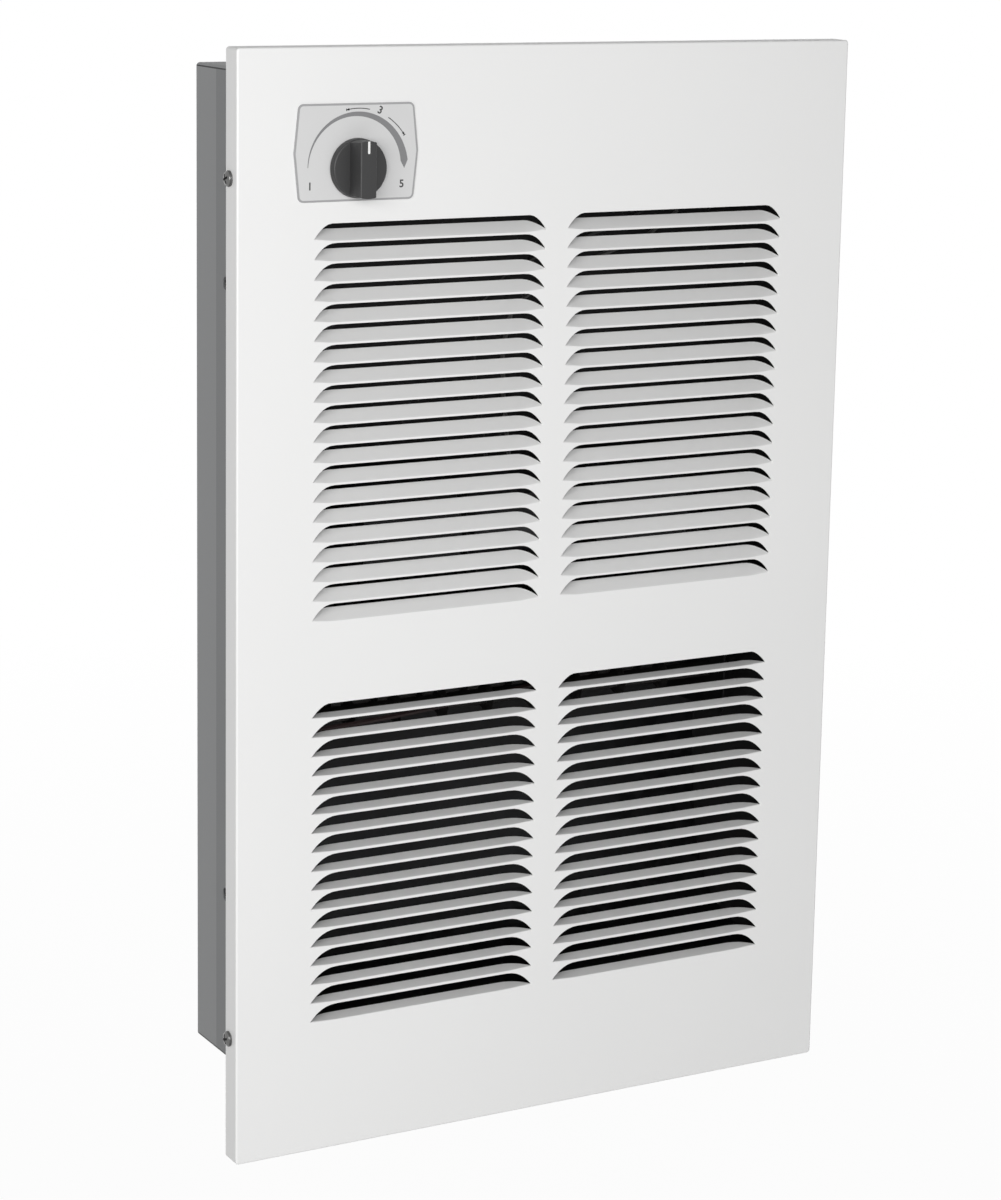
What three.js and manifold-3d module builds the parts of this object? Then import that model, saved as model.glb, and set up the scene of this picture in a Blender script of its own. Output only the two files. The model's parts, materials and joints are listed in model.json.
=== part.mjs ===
// Recessed bathroom wall fan heater, in millimetres.
// +Z is up, -Y faces the room and y = 0 is the finished wall surface.
// The origin is the centre of the opening that the recess can fills in the wall.
import * as THREE from 'three';
import { mergeVertices } from 'three/addons/utils/BufferGeometryUtils.js';
import Module from 'manifold-3d';

const wasm = await Module();
wasm.setup();

// ---------- driving dimensions ----------
// Recess can, one folded sheet box that is open to the room
const canWidth = 366;
const canHeight = 610;
const canDepth = 100;
const canSheet = 1;
const canBend = 1.6;
const canCorner = 2.2;
const flangeHoleRadius = 2.6;
const flangeHoleSpacing = 200;
const nailHoleRadius = 4.15;
const nailHoleDepth = 56;
const nailHoleUpper = 178;
const nailHoleLower = -199.5;
const knockoutRadius = 11.1;
const knockoutSpacing = 220;
const knockoutSlot = 0.8;
const knockoutBridge = 3;

// Front panel, which overlaps the can on every side
const sideOverlap = 25;
const topOverlap = 15.1;
const bottomOverlap = 39.9;
const rimDepth = 15;
const panelSheet = 1;
const panelCorner = 2;
const panelFold = 1.2;

// Louvres, lanced from the panel and bent inwards about their lower edge
const louvrePitch = 11.83;
const louvreStrip = 1.43;
const louvreLength = 152;
const louvreInnerBend = 0.2;
const louvreEndRun = 15;
const louvreEndCurve = 2.4;
const louvreShoulder = 0.72;
const louvreKerf = 0.15;
const upperLouvreAngle = 47;
const upperLouvreTip = 3.3;
const upperFirstDrop = 0.5;
const lowerLouvreAngle = 85;
const lowerLouvreTip = 2.3;
const lowerFirstDrop = 1.5;
const bankSpacing = 168;
const upperBankTop = 100.3;
const lowerBankFoot = 81.5;
const bankBreak = 48;
const lowerRows = 17;

// Thermostat with its knob and dial
const dialFromSide = 74.7;
const dialFromTop = 60.2;
const dialWidth = 79.5;
const dialWaist = 2.95;
const dialHeight = 56;
const dialCorner = 3;
const dialSheet = 0.8;
const knobBelowDial = 9;
const knobRadius = 17.3;
const knobSkirt = 5;
const knobEdge = 0.8;
const gripHeight = 10.6;
const gripFoot = 14.6;
const gripCrest = 10;
const pointerLength = 8;
const pointerWidth = 1.4;
const pointerInset = 0.4;
const shaftRadius = 3;
const shaftFlat = 0.8;
const shaftEngagement = 11;
const bushingRadius = 4.8;
const thermostatWidth = 44;
const thermostatHeight = 40;
const thermostatDepth = 26;
const bracketSetback = 4;
const bracketSheet = 1.2;
const bracketFlange = 34;
const bladeTabLength = 7;
const bladeTabSpacing = 16;

// Sensing bulb on the left wall of the can
const bulbRadius = 4;
const bulbLength = 74;
const bulbTop = 128;
const bulbWallGap = 4;
const bulbSetback = 14;
const clipHeight = 8;
const clipSheet = 1.2;
const capillaryRadius = 1;

// Blower: one motor between two squirrel cage wheels
const scrollGrowth = 8;
const wheelGap = 3;
const scrollWidth = 66;
const scrollSheet = 1;
const scrollWallGap = 1.5;
const inletRadius = 28;
const wheelSideGap = 3;
const wheelBlades = 20;
const wheelBladeDepth = 8;
const wheelBladeLean = 1.6;
const wheelBladeSheet = 0.8;
const wheelSheet = 1.2;
const wheelRing = 2;
const wheelHub = 14;
const wheelHubRadius = 8.8;
const axisRise = 61;
const outletDepth = 46;
const motorRadius = 33;
const motorLength = 60;
const motorHubRadius = 13.7;
const motorHubLength = 12;
const motorShaftRadius = 4;
const motorScrollGap = 6;
const bearingRadius = 7;
const bearingLength = 8;
const mountRingRadius = 18;
const mountRingWidth = 8;
const cradleSheet = 1.5;
const cradleWidth = 52;

// Deck between the two louvre banks, and the heating section below it
const deckSheet = 1.2;
const deckFlange = 18;
const deckScrewInset = 30;
const leadHoleInset = 16;
const leadHoleDepth = 62;
const elementTubeRadius = 5;
const elementFinRadius = 11;
const elementFinPitch = 32;
const elementFinHalf = 1.2;
const elementLegSpacing = 34;
const elementDrop = 46;
const elementInset = 34;
const elementFoot = 12;
const elementPinReach = 18;
const elementBracketHeight = 72;
const elementBracketDepth = 74;
const deflectorDrop = 96;
const deflectorSheet = 1;

// Wiring
const terminalBlockWidth = 60;
const terminalBlockHeight = 22;
const terminalBlockDepth = 18;
const terminalFromSide = 62;
const terminalFromTop = 40;
const terminalWell = 14;
const terminalWellDepth = 6;
const terminalScrewRadius = 1.5;
const terminalScrewHead = 4;
const groundScrewGap = 14;
const leadRadius = 1.5;
const leadBackGap = 8;
const leadHoleRadius = 6;

// Fasteners
const grilleScrewFromTop = 74;
const grilleScrewFromBottom = 77;
const grilleScrewSetback = 4.8;
const grilleScrewHead = 4.7;
const screwRadius = 1.9;
const screwHead = 3.6;
const screwHeadHeight = 2.4;
const tabSheet = 1.2;
const tabHeight = 16;
const tabLeg = 10;
const tabFoot = 9;

// Clearances
const seatGap = 0.3;
const slideGap = 0.15;
const runGap = 0.5;
const holeGap = 0.3;

// ---------- places worked out from the dimensions ----------
const degree = Math.PI / 180;
const panelWidth = canWidth + 2 * sideOverlap;
const panelTop = canHeight / 2 + topOverlap;
const panelBottom = -canHeight / 2 - bottomOverlap;
const panelHeight = panelTop - panelBottom;
const faceY = -rimDepth;
const faceBackY = faceY + panelSheet;
const canInsideX = canWidth / 2 - canSheet;
const canInsideZ = canHeight / 2 - canSheet;
const canBackY = canDepth - canSheet;

const louvreCut = louvrePitch - louvreStrip;
const louvreOuterBend = louvreInnerBend + panelSheet;
const louvreNeutralBend = louvreInnerBend + panelSheet / 2;
const lowerFootZ = panelBottom + lowerBankFoot;
const lowerTopZ = lowerFootZ + lowerRows * louvrePitch - louvreStrip;
const upperTopZ = panelTop - upperBankTop;
const upperRoom = upperTopZ - lowerTopZ - bankBreak + louvreStrip;
const upperRows = Math.floor(upperRoom / louvrePitch + 0.05);
const deckZ = lowerTopZ + bankBreak / 2;

const dialX = -panelWidth / 2 + dialFromSide;
const dialZ = panelTop - dialFromTop;
const knobZ = dialZ - knobBelowDial;
const dialFaceY = faceY - dialSheet;
const knobBackY = dialFaceY - runGap;
const skirtFaceY = knobBackY - knobSkirt;
const gripFaceY = skirtFaceY - gripHeight;
const shaftEndY = knobBackY - shaftEngagement;
const bracketBackY = bracketSetback + bracketSheet;

const scrollRadius = (canBackY - 2 * scrollWallGap) / 2;
const axisY = scrollWallGap + scrollRadius;
const axisZ = deckZ + axisRise;
const wheelRadius = scrollRadius - scrollGrowth - wheelGap;
const motorHubEnd = motorLength / 2 + motorHubLength;
const scrollNearX = motorHubEnd + motorScrollGap;
const scrollMidX = scrollNearX + scrollWidth / 2;
const wheelWidth = scrollWidth - 2 * scrollSheet - 2 * wheelSideGap;
const cradleX = motorLength / 2 + mountRingWidth / 2 + seatGap;

const elementY = axisY;
const elementZ = deckZ - deckSheet - elementDrop;
const elementPlateX = canInsideX - elementInset;
const terminalSpacing = terminalBlockWidth / 3;
const terminalFrontY = canBackY - seatGap - terminalBlockDepth;
const terminalX = canWidth / 2 - terminalFromSide;
const terminalZ = canInsideZ - terminalFromTop;
const leadHoleX = canInsideX - leadHoleInset;
const groundX = terminalX - terminalBlockWidth / 2 - groundScrewGap;
const limitPlace = [motorHubEnd - 2, axisY - motorRadius - 0.5, deckZ - deckSheet];
const bulbX = -canInsideX + bulbRadius + bulbWallGap;
const bulbY = bulbSetback;

// ---------- solids ----------
function toSolid(geometry) {
  const bare = geometry.index ? geometry.toNonIndexed() : geometry.clone();
  bare.deleteAttribute('normal');
  bare.deleteAttribute('uv');
  const merged = mergeVertices(bare, 1e-4);
  const index = merged.index.array;
  const kept = [];
  for (let i = 0; i < index.length; i += 3) {
    const [a, b, c] = [index[i], index[i + 1], index[i + 2]];
    if (a !== b && b !== c && c !== a) kept.push(a, b, c);
  }
  return new wasm.Manifold(new wasm.Mesh({
    numProp: 3,
    vertProperties: new Float32Array(merged.attributes.position.array),
    triVerts: new Uint32Array(kept),
  }));
}

function toGeometry(solid) {
  const mesh = solid.asOriginal().getMesh();
  const geometry = new THREE.BufferGeometry();
  geometry.setAttribute('position', new THREE.BufferAttribute(mesh.vertProperties, 3));
  geometry.setIndex(new THREE.BufferAttribute(mesh.triVerts, 1));
  geometry.computeVertexNormals();
  return geometry;
}

function join(solids) {
  return solids.reduce((whole, next) => whole.add(next));
}

function cut(solid, tools) {
  return tools.reduce((rest, tool) => rest.subtract(tool), solid);
}

function block([x0, x1], [y0, y1], [z0, z1]) {
  const geometry = new THREE.BoxGeometry(x1 - x0, y1 - y0, z1 - z0);
  return toSolid(geometry.translate((x0 + x1) / 2, (y0 + y1) / 2, (z0 + z1) / 2));
}

// A shape drawn in x and z, with its thickness along y
function plateFacingY(shape, y0, y1, options = {}) {
  const geometry = new THREE.ExtrudeGeometry(shape, { depth: y1 - y0, bevelEnabled: false, ...options });
  return toSolid(geometry.rotateX(Math.PI / 2).translate(0, y1, 0));
}

// A shape drawn in y and z, with its length along x
function barAlongX(shape, x0, x1, options = {}) {
  const geometry = new THREE.ExtrudeGeometry(shape, { depth: x1 - x0, bevelEnabled: false, ...options });
  const turn = new THREE.Matrix4().makeBasis(
    new THREE.Vector3(0, 1, 0), new THREE.Vector3(0, 0, 1), new THREE.Vector3(1, 0, 0));
  return toSolid(geometry.applyMatrix4(turn).translate(x0, 0, 0));
}

// A shape drawn in x and y, with its height along z
function slabAlongZ(shape, z0, z1, options = {}) {
  const geometry = new THREE.ExtrudeGeometry(shape, { depth: z1 - z0, bevelEnabled: false, ...options });
  return toSolid(geometry.translate(0, 0, z0));
}

// A profile of [radius, place along the axis] pairs, turned about an axis through the origin
function turned(profile, axis = 'y', segments = 12) {
  const points = profile.map(([radius, along]) => new THREE.Vector2(radius, along));
  const geometry = new THREE.LatheGeometry(points, segments);
  if (axis === 'x') geometry.rotateZ(-Math.PI / 2);
  if (axis === 'z') geometry.rotateX(Math.PI / 2);
  return toSolid(geometry);
}

function rod(radius, from, to, axis = 'y', segments = 12) {
  return turned([[0, from], [radius, from], [radius, to], [0, to]], axis, segments);
}

function ring(outer, inner, from, to, axis = 'y', segments = 12) {
  const profile = [[inner, from], [outer, from], [outer, to], [inner, to], [inner, from]];
  return turned(profile, axis, segments);
}

function roundedRectangle(width, height, radius, x = 0, y = 0) {
  const [left, right, low, high] = [x - width / 2, x + width / 2, y - height / 2, y + height / 2];
  const shape = new THREE.Shape();
  shape.absarc(right - radius, high - radius, radius, 0, Math.PI / 2);
  shape.absarc(left + radius, high - radius, radius, Math.PI / 2, Math.PI);
  shape.absarc(left + radius, low + radius, radius, Math.PI, 1.5 * Math.PI);
  shape.absarc(right - radius, low + radius, radius, 1.5 * Math.PI, 2 * Math.PI);
  return shape;
}

function polygon(points) {
  return new THREE.Shape(points.map(([a, b]) => new THREE.Vector2(a, b)));
}

// A box with rounded corners, and folds rounded over at both of its ends along y
function roundedBox(width, height, corner, fold, [y0, y1], z = 0) {
  const bevel = {
    bevelEnabled: true, bevelThickness: fold, bevelSize: fold, bevelOffset: -fold,
    bevelSegments: 2, curveSegments: 2,
  };
  return plateFacingY(roundedRectangle(width, height, corner, 0, z), y0 + fold, y1 - fold, bevel);
}

// Sheet of even thickness that follows a plane curve
function sheetAlong(curve, thickness, steps) {
  const near = [];
  const far = [];
  for (let i = 0; i <= steps; i += 1) {
    const point = curve.getPoint(i / steps);
    const along = curve.getTangent(i / steps);
    near.push([point.x, point.y]);
    far.unshift([point.x + along.y * thickness, point.y - along.x * thickness]);
  }
  return polygon([...near, ...far]);
}

function tubeThrough(points, radius, steps, sides = 6) {
  const path = new THREE.CatmullRomCurve3(points.map((p) => new THREE.Vector3(...p)), false, 'centripetal');
  const corners = Array.from({ length: sides }, (unused, i) => 2 * Math.PI * i / sides);
  const section = polygon(corners.map((angle) => [radius * Math.cos(angle), radius * Math.sin(angle)]));
  const geometry = new THREE.ExtrudeGeometry(section, { steps, extrudePath: path });
  return toSolid(geometry);
}

// Pan head screw with a washer face, its head towards +y and its seat at y = 0
function screw(radius, length, head, headHeight, segments = 8) {
  return turned([
    [0, -length], [radius, -length], [radius, 0], [head, 0], [head, 0.25 * headHeight],
    [0.78 * head, 0.7 * headHeight], [0.4 * head, headHeight], [0, headHeight],
  ], 'y', segments);
}

// ---------- scene ----------
const heater = new THREE.Group();

function finish(color, roughness, metalness) {
  return new THREE.MeshStandardMaterial({ color, roughness, metalness });
}

function addPart(name, solid, material) {
  const mesh = new THREE.Mesh(toGeometry(solid), material);
  mesh.name = name;
  heater.add(mesh);
}

const whitePaint = () => finish(0xf2f2f0, 0.45, 0);
const greyPaint = () => finish(0x858788, 0.55, 0.3);
const galvanised = () => finish(0x9a9c9d, 0.45, 0.8);
const zincPlate = () => finish(0xb9b9b6, 0.35, 0.9);
const blackPaint = () => finish(0x1b1b1c, 0.6, 0.2);
const darkPlastic = () => finish(0x37383a, 0.5, 0);

// ---------- front panel with its louvres ----------
// How far in from a louvre's tip its curved end reaches a height above the bend
function endInset(height, tip) {
  const share = Math.min((height - tip) / (louvreCut - tip), 1);
  return louvreEndRun * (1 - (1 - share) ** (1 / louvreEndCurve));
}

function shoulderHeight(cutHeight, tip) {
  return tip + louvreShoulder * (cutHeight - tip);
}

// The opening that one louvre leaves in the sheet, with a shoulder at each end
function louvreHole(x, bendZ, cutHeight, tip) {
  const half = louvreLength / 2 + louvreKerf;
  const side = [[half, bendZ], [half, bendZ + tip]];
  for (const height of [shoulderHeight(cutHeight, tip), cutHeight]) {
    side.push([half - endInset(height, tip), bendZ + height]);
  }
  const right = side.map(([reach, z]) => [x + reach, z]);
  const left = side.map(([reach, z]) => [x - reach, z]).reverse();
  return plateFacingY(polygon([...right, ...left]), faceY - 1, faceBackY + 1);
}

// Cross-section of a bent louvre at a distance along the sheet: [y, z] of its outer and inner face
function bentStation(along, angle) {
  const turn = Math.min(Math.max(along / louvreNeutralBend, 0), angle);
  const straight = along < 0 ? along : Math.max(along - louvreNeutralBend * angle, 0);
  const direction = along < 0 ? 0 : turn;
  return [louvreOuterBend, louvreInnerBend].map((radius) => [
    faceY + louvreOuterBend - radius * Math.cos(turn) + straight * Math.sin(direction),
    radius * Math.sin(turn) + straight * Math.cos(direction),
  ]);
}

// One bent louvre, lofted through stations from a root hidden in the sheet to its free edge
function louvreBlade(x, bendZ, cutHeight, tip, angle) {
  const shoulder = shoulderHeight(cutHeight, tip);
  const stations = [-louvreStrip / 2, 0, louvreNeutralBend * angle, shoulder, cutHeight];
  const vertices = [];
  for (const along of stations) {
    const hidden = along < 0 ? panelSheet / 4 : 0;
    const drawnIn = along < shoulder ? 0 : endInset(along, tip);
    const half = louvreLength / 2 - hidden - drawnIn;
    const [outer, inner] = bentStation(along, angle);
    outer[0] += hidden;
    inner[0] -= hidden;
    for (const [side, [y, z]] of [[-half, outer], [half, outer], [half, inner], [-half, inner]]) {
      vertices.push(x + side, y, bendZ + z);
    }
  }
  const faces = [0, 1, 2, 0, 2, 3];
  for (let station = 0; station < stations.length - 1; station += 1) {
    const low = 4 * station;
    for (let corner = 0; corner < 4; corner += 1) {
      const next = (corner + 1) % 4;
      faces.push(low + corner, low + 4 + corner, low + next);
      faces.push(low + next, low + 4 + corner, low + 4 + next);
    }
  }
  const last = 4 * (stations.length - 1);
  faces.push(last, last + 2, last + 1, last, last + 3, last + 2);
  const geometry = new THREE.BufferGeometry();
  geometry.setAttribute('position', new THREE.Float32BufferAttribute(vertices, 3));
  geometry.setIndex(faces.reverse());
  return toSolid(geometry);
}

function louvreBanks() {
  const upper = { topZ: upperTopZ, rows: upperRows, tip: upperLouvreTip, drop: upperFirstDrop };
  const lower = { topZ: lowerTopZ, rows: lowerRows, tip: lowerLouvreTip, drop: lowerFirstDrop };
  upper.angle = upperLouvreAngle * degree;
  lower.angle = lowerLouvreAngle * degree;
  const holes = [];
  const blades = [];
  for (const { topZ, rows, tip, drop, angle } of [upper, lower]) {
    for (let row = 0; row < rows; row += 1) {
      const bendZ = topZ - louvreCut - row * louvrePitch;
      const cutHeight = row === 0 ? louvreCut - drop : louvreCut;
      for (const x of [-bankSpacing / 2, bankSpacing / 2]) {
        holes.push(louvreHole(x, bendZ, cutHeight, tip));
        blades.push(louvreBlade(x, bendZ, cutHeight, tip, angle));
      }
    }
  }
  return { holes, blades };
}

function grilleScrewPlaces() {
  const places = [];
  for (const side of [-1, 1]) {
    places.push([side, panelTop - grilleScrewFromTop]);
    places.push([side, panelBottom + grilleScrewFromBottom]);
  }
  return places;
}

function makeFrontGrille() {
  const centreZ = (panelTop + panelBottom) / 2;
  const outside = roundedBox(panelWidth, panelHeight, panelCorner, panelFold, [faceY, rimDepth], centreZ);
  const inside = roundedBox(panelWidth - 2 * panelSheet, panelHeight - 2 * panelSheet,
    panelCorner - panelSheet, panelFold - panelSheet, [faceBackY, rimDepth - 1], centreZ);
  const behindWall = block([-panelWidth, panelWidth], [0, rimDepth + 1], [-panelHeight, panelHeight]);
  const { holes, blades } = louvreBanks();
  const shaftHole = rod(bushingRadius + 1, faceY - 1, faceBackY + 1, 'y', 12).translate([dialX, 0, knobZ]);
  const screwHoles = grilleScrewPlaces().map(([side, z]) => rod(
    screwRadius + holeGap, side * panelWidth / 2 - 3, side * panelWidth / 2 + 3, 'x', 8,
  ).translate([0, -grilleScrewSetback, z]));
  const pan = cut(outside, [inside, behindWall, shaftHole, ...screwHoles, ...holes]);
  return join([pan, ...blades]);
}

// ---------- recess can ----------
function knockout(radius, from, to, axis) {
  const slot = ring(radius, radius - knockoutSlot, from, to, axis, 10);
  const reach = [-radius - 1, radius + 1];
  const bridge = [-knockoutBridge / 2, knockoutBridge / 2];
  const along = [from - 1, to + 1];
  const bar = axis === 'z' ? block(reach, bridge, along) : block(reach, along, bridge);
  return slot.subtract(bar);
}

function deckScrewPlaces() {
  const places = [];
  const outerX = canInsideX - deckScrewInset;
  for (const x of [-outerX, -outerX / 2.5, outerX / 2.5, outerX]) {
    places.push([x, deckZ - deckSheet - deckFlange / 2]);
  }
  return places;
}

function makeWallCan() {
  const outside = roundedBox(canWidth, canHeight, canCorner, canBend, [-2 * canBend, canDepth]);
  const inside = roundedBox(canWidth - 2 * canSheet, canHeight - 2 * canSheet,
    canCorner - canSheet, canBend - canSheet, [-2 * canBend - 1, canBackY]);
  const room = block([-canWidth, canWidth], [-3 * canBend, 0], [-canHeight, canHeight]);
  const flangeEdge = panelWidth / 2 - panelSheet - seatGap * 4;
  const flanges = [-1, 1].map((side) => {
    const edges = [side * (canWidth / 2 - canSheet), side * flangeEdge].sort((a, b) => a - b);
    return block(edges, [-canSheet, 0], [-canHeight / 2 + canBend, canHeight / 2 - canBend]);
  });
  const lip = [-1, 1].map((side) => {
    const edges = [side * (canWidth / 2 - canSheet), side * canWidth / 2].sort((a, b) => a - b);
    return block(edges, [-canSheet, canSheet], [-canHeight / 2 + canBend, canHeight / 2 - canBend]);
  });
  const holes = [];
  for (const side of [-1, 1]) {
    const wall = [side * canWidth / 2 - 3, side * canWidth / 2 + 3];
    for (const z of [nailHoleUpper, nailHoleLower]) {
      holes.push(rod(nailHoleRadius, ...wall, 'x', 8).translate([0, nailHoleDepth, z]));
    }
    const flangeX = side * (canWidth / 2 + flangeEdge) / 2;
    for (const z of [-flangeHoleSpacing, 0, flangeHoleSpacing]) {
      holes.push(rod(flangeHoleRadius, -canSheet - 1, 1, 'y', 6).translate([flangeX, 0, z]));
    }
    const top = [canHeight / 2 - canSheet - 1, canHeight / 2 + 1];
    const x = side * knockoutSpacing / 2;
    holes.push(knockout(knockoutRadius, ...top, 'z').translate([x, canDepth / 2, 0]));
  }
  for (const [x, z] of deckScrewPlaces()) {
    holes.push(rod(screwRadius + slideGap, canBackY - 1, canDepth + 1, 'y', 8).translate([x, 0, z]));
  }
  const groundHole = rod(screwRadius + slideGap, canBackY - 1, canDepth + 1, 'y', 8);
  holes.push(groundHole.translate([groundX, 0, terminalZ]));
  return cut(join([cut(outside, [inside, room]), ...flanges, ...lip]), holes);
}

// Angle pieces welded to the can's side flanges, which take the panel screws
function makeGrilleTab(side, z) {
  const legOuter = panelWidth / 2 - panelSheet - seatGap;
  const foot = [
    [legOuter - tabFoot, -canSheet], [legOuter, -canSheet], [legOuter, -canSheet - tabLeg],
    [legOuter - tabSheet, -canSheet - tabLeg], [legOuter - tabSheet, -canSheet - tabSheet],
    [legOuter - tabFoot, -canSheet - tabSheet],
  ];
  const outline = polygon(foot.map(([x, y]) => [side * x, y]));
  const angle = slabAlongZ(outline, z - tabHeight / 2, z + tabHeight / 2);
  const hole = rod(screwRadius + slideGap, side * legOuter - 4, side * legOuter + 4, 'x', 8);
  return angle.subtract(hole.translate([0, -grilleScrewSetback, z]));
}

function addPanelFixings() {
  grilleScrewPlaces().forEach(([side, z], index) => {
    addPart(`grille_tab_${index + 1}`, makeGrilleTab(side, z), galvanised());
    const length = panelSheet + seatGap + tabSheet + 4;
    const body = screw(screwRadius, length, grilleScrewHead, 2.8, 10).rotate([0, 0, -90 * side]);
    const seat = side * (panelWidth / 2 + slideGap);
    addPart(`grille_screw_${index + 1}`, body.translate([seat, -grilleScrewSetback, z]), zincPlate());
  });
}

// ---------- thermostat ----------
function dialOutline() {
  const [half, top] = [dialWidth / 2, dialHeight / 2];
  const edge = half - dialWaist;
  const shape = new THREE.Shape();
  shape.moveTo(half, dialZ);
  shape.lineTo(edge + 0.3, dialZ + top - dialCorner);
  shape.quadraticCurveTo(edge, dialZ + top, edge - dialCorner, dialZ + top);
  shape.lineTo(-edge + dialCorner, dialZ + top);
  shape.quadraticCurveTo(-edge, dialZ + top, -edge - 0.3, dialZ + top - dialCorner);
  shape.lineTo(-half, dialZ);
  shape.lineTo(-edge - 0.3, dialZ - top + dialCorner);
  shape.quadraticCurveTo(-edge, dialZ - top, -edge + dialCorner, dialZ - top);
  shape.lineTo(edge - dialCorner, dialZ - top);
  shape.quadraticCurveTo(edge, dialZ - top, edge + 0.3, dialZ - top + dialCorner);
  return shape;
}

function makeDialPlate() {
  const plate = plateFacingY(dialOutline(), dialFaceY, faceY, { curveSegments: 4 });
  const hole = rod(bushingRadius + holeGap, dialFaceY - 1, faceY + 1, 'y', 16);
  return plate.subtract(hole.translate([0, 0, knobZ])).translate([dialX, 0, 0]);
}

// D-shaped shaft section, the same for the shaft and, grown by a gap, for the knob's bore
function shaftOutline(gap) {
  const radius = shaftRadius + gap;
  const flat = shaftRadius - shaftFlat + gap;
  const half = Math.acos(flat / radius);
  const shape = new THREE.Shape();
  shape.absarc(0, 0, radius, Math.PI / 2 + half, 2.5 * Math.PI - half);
  return shape;
}

// A round skirt with a bar grip across it, hollowed by the shaft's bore and the pointer's groove
function makeKnob() {
  const skirt = turned([
    [0, skirtFaceY], [knobRadius - 1.2, skirtFaceY], [knobRadius - 0.3, skirtFaceY + knobEdge],
    [knobRadius, knobBackY - 0.6], [knobRadius - 0.5, knobBackY], [0, knobBackY],
  ], 'y', 32);
  const grip = slabAlongZ(polygon([
    [-gripFoot / 2, skirtFaceY + 1], [-gripFoot / 2, skirtFaceY],
    [-gripCrest / 2 - 0.6, gripFaceY + knobEdge], [-gripCrest / 2 + knobEdge, gripFaceY],
    [gripCrest / 2 - knobEdge, gripFaceY], [gripCrest / 2 + 0.6, gripFaceY + knobEdge],
    [gripFoot / 2, skirtFaceY], [gripFoot / 2, skirtFaceY + 1],
  ]), -knobRadius, knobRadius);
  const envelope = turned([
    [0, gripFaceY - 1], [knobRadius - 0.8, gripFaceY - 1], [knobRadius - 0.8, gripFaceY],
    [knobRadius - 0.2, gripFaceY + knobEdge], [knobRadius - 0.2, knobBackY - 1], [0, knobBackY - 1],
  ], 'y', 32);
  const boreOutline = shaftOutline(slideGap);
  const bore = plateFacingY(boreOutline, shaftEndY - slideGap, knobBackY + 1, { curveSegments: 5 });
  const groove = block([-pointerWidth / 2, pointerWidth / 2], [gripFaceY - 1, gripFaceY + pointerInset],
    [knobRadius - pointerLength, knobRadius + 1]);
  return cut(skirt.add(grip.intersect(envelope)), [bore, groove]).translate([dialX, 0, knobZ]);
}

function makePointer() {
  const half = pointerWidth / 2 - 0.1;
  const bar = block([-half, half], [gripFaceY, gripFaceY + pointerInset - 0.1],
    [knobRadius - pointerLength + 0.1, knobRadius - 0.9]);
  return bar.translate([dialX, 0, knobZ]);
}

function makeThermostatShaft() {
  const flatEnd = faceBackY + 2;
  const keyed = plateFacingY(shaftOutline(0), shaftEndY, flatEnd + 1, { curveSegments: 5 });
  const round = rod(shaftRadius, flatEnd, bracketBackY + 2, 'y', 12);
  return keyed.add(round).translate([dialX, 0, knobZ]);
}

function makeThermostatBody() {
  const shape = roundedRectangle(thermostatWidth, thermostatHeight, 3);
  const backY = bracketBackY + thermostatDepth;
  const housing = plateFacingY(shape, bracketBackY, backY, { curveSegments: 2 });
  const bushing = rod(bushingRadius, bracketSetback - 7, bracketBackY + 1, 'y', 12);
  const tabs = [-bladeTabSpacing / 2, bladeTabSpacing / 2].map((x) => (
    block([x - 3, x + 3], [backY - 1, backY + bladeTabLength], [-0.5, 0.5])));
  const bore = rod(shaftRadius + holeGap, bracketSetback - 8, bracketBackY + 2 + holeGap, 'y', 12);
  return cut(join([housing, bushing, ...tabs]), [bore]).translate([dialX, 0, knobZ]);
}

function makeThermostatNut() {
  const hexagon = rod(bushingRadius + 3.2, bracketSetback - 3.4, bracketSetback, 'y', 6);
  const thread = rod(bushingRadius + slideGap, bracketSetback - 4, bracketSetback + 1, 'y', 12);
  return hexagon.subtract(thread).translate([dialX, 0, knobZ]);
}

// Bracket welded to the can's side wall, with the thermostat bolted through its face
function makeThermostatBracket() {
  const wallX = -canInsideX + seatGap;
  const faceEnd = dialX + thermostatWidth / 2 + 3;
  const outline = polygon([
    [wallX, bracketSetback], [faceEnd, bracketSetback], [faceEnd, bracketBackY],
    [wallX + bracketSheet, bracketBackY], [wallX + bracketSheet, bracketSetback + bracketFlange],
    [wallX, bracketSetback + bracketFlange],
  ]);
  const half = thermostatHeight / 2 + 3;
  const angle = slabAlongZ(outline, knobZ - half, knobZ + half);
  const hole = rod(bushingRadius + slideGap, bracketSetback - 1, bracketBackY + 1, 'y', 12);
  return angle.subtract(hole.translate([dialX, 0, knobZ]));
}

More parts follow.
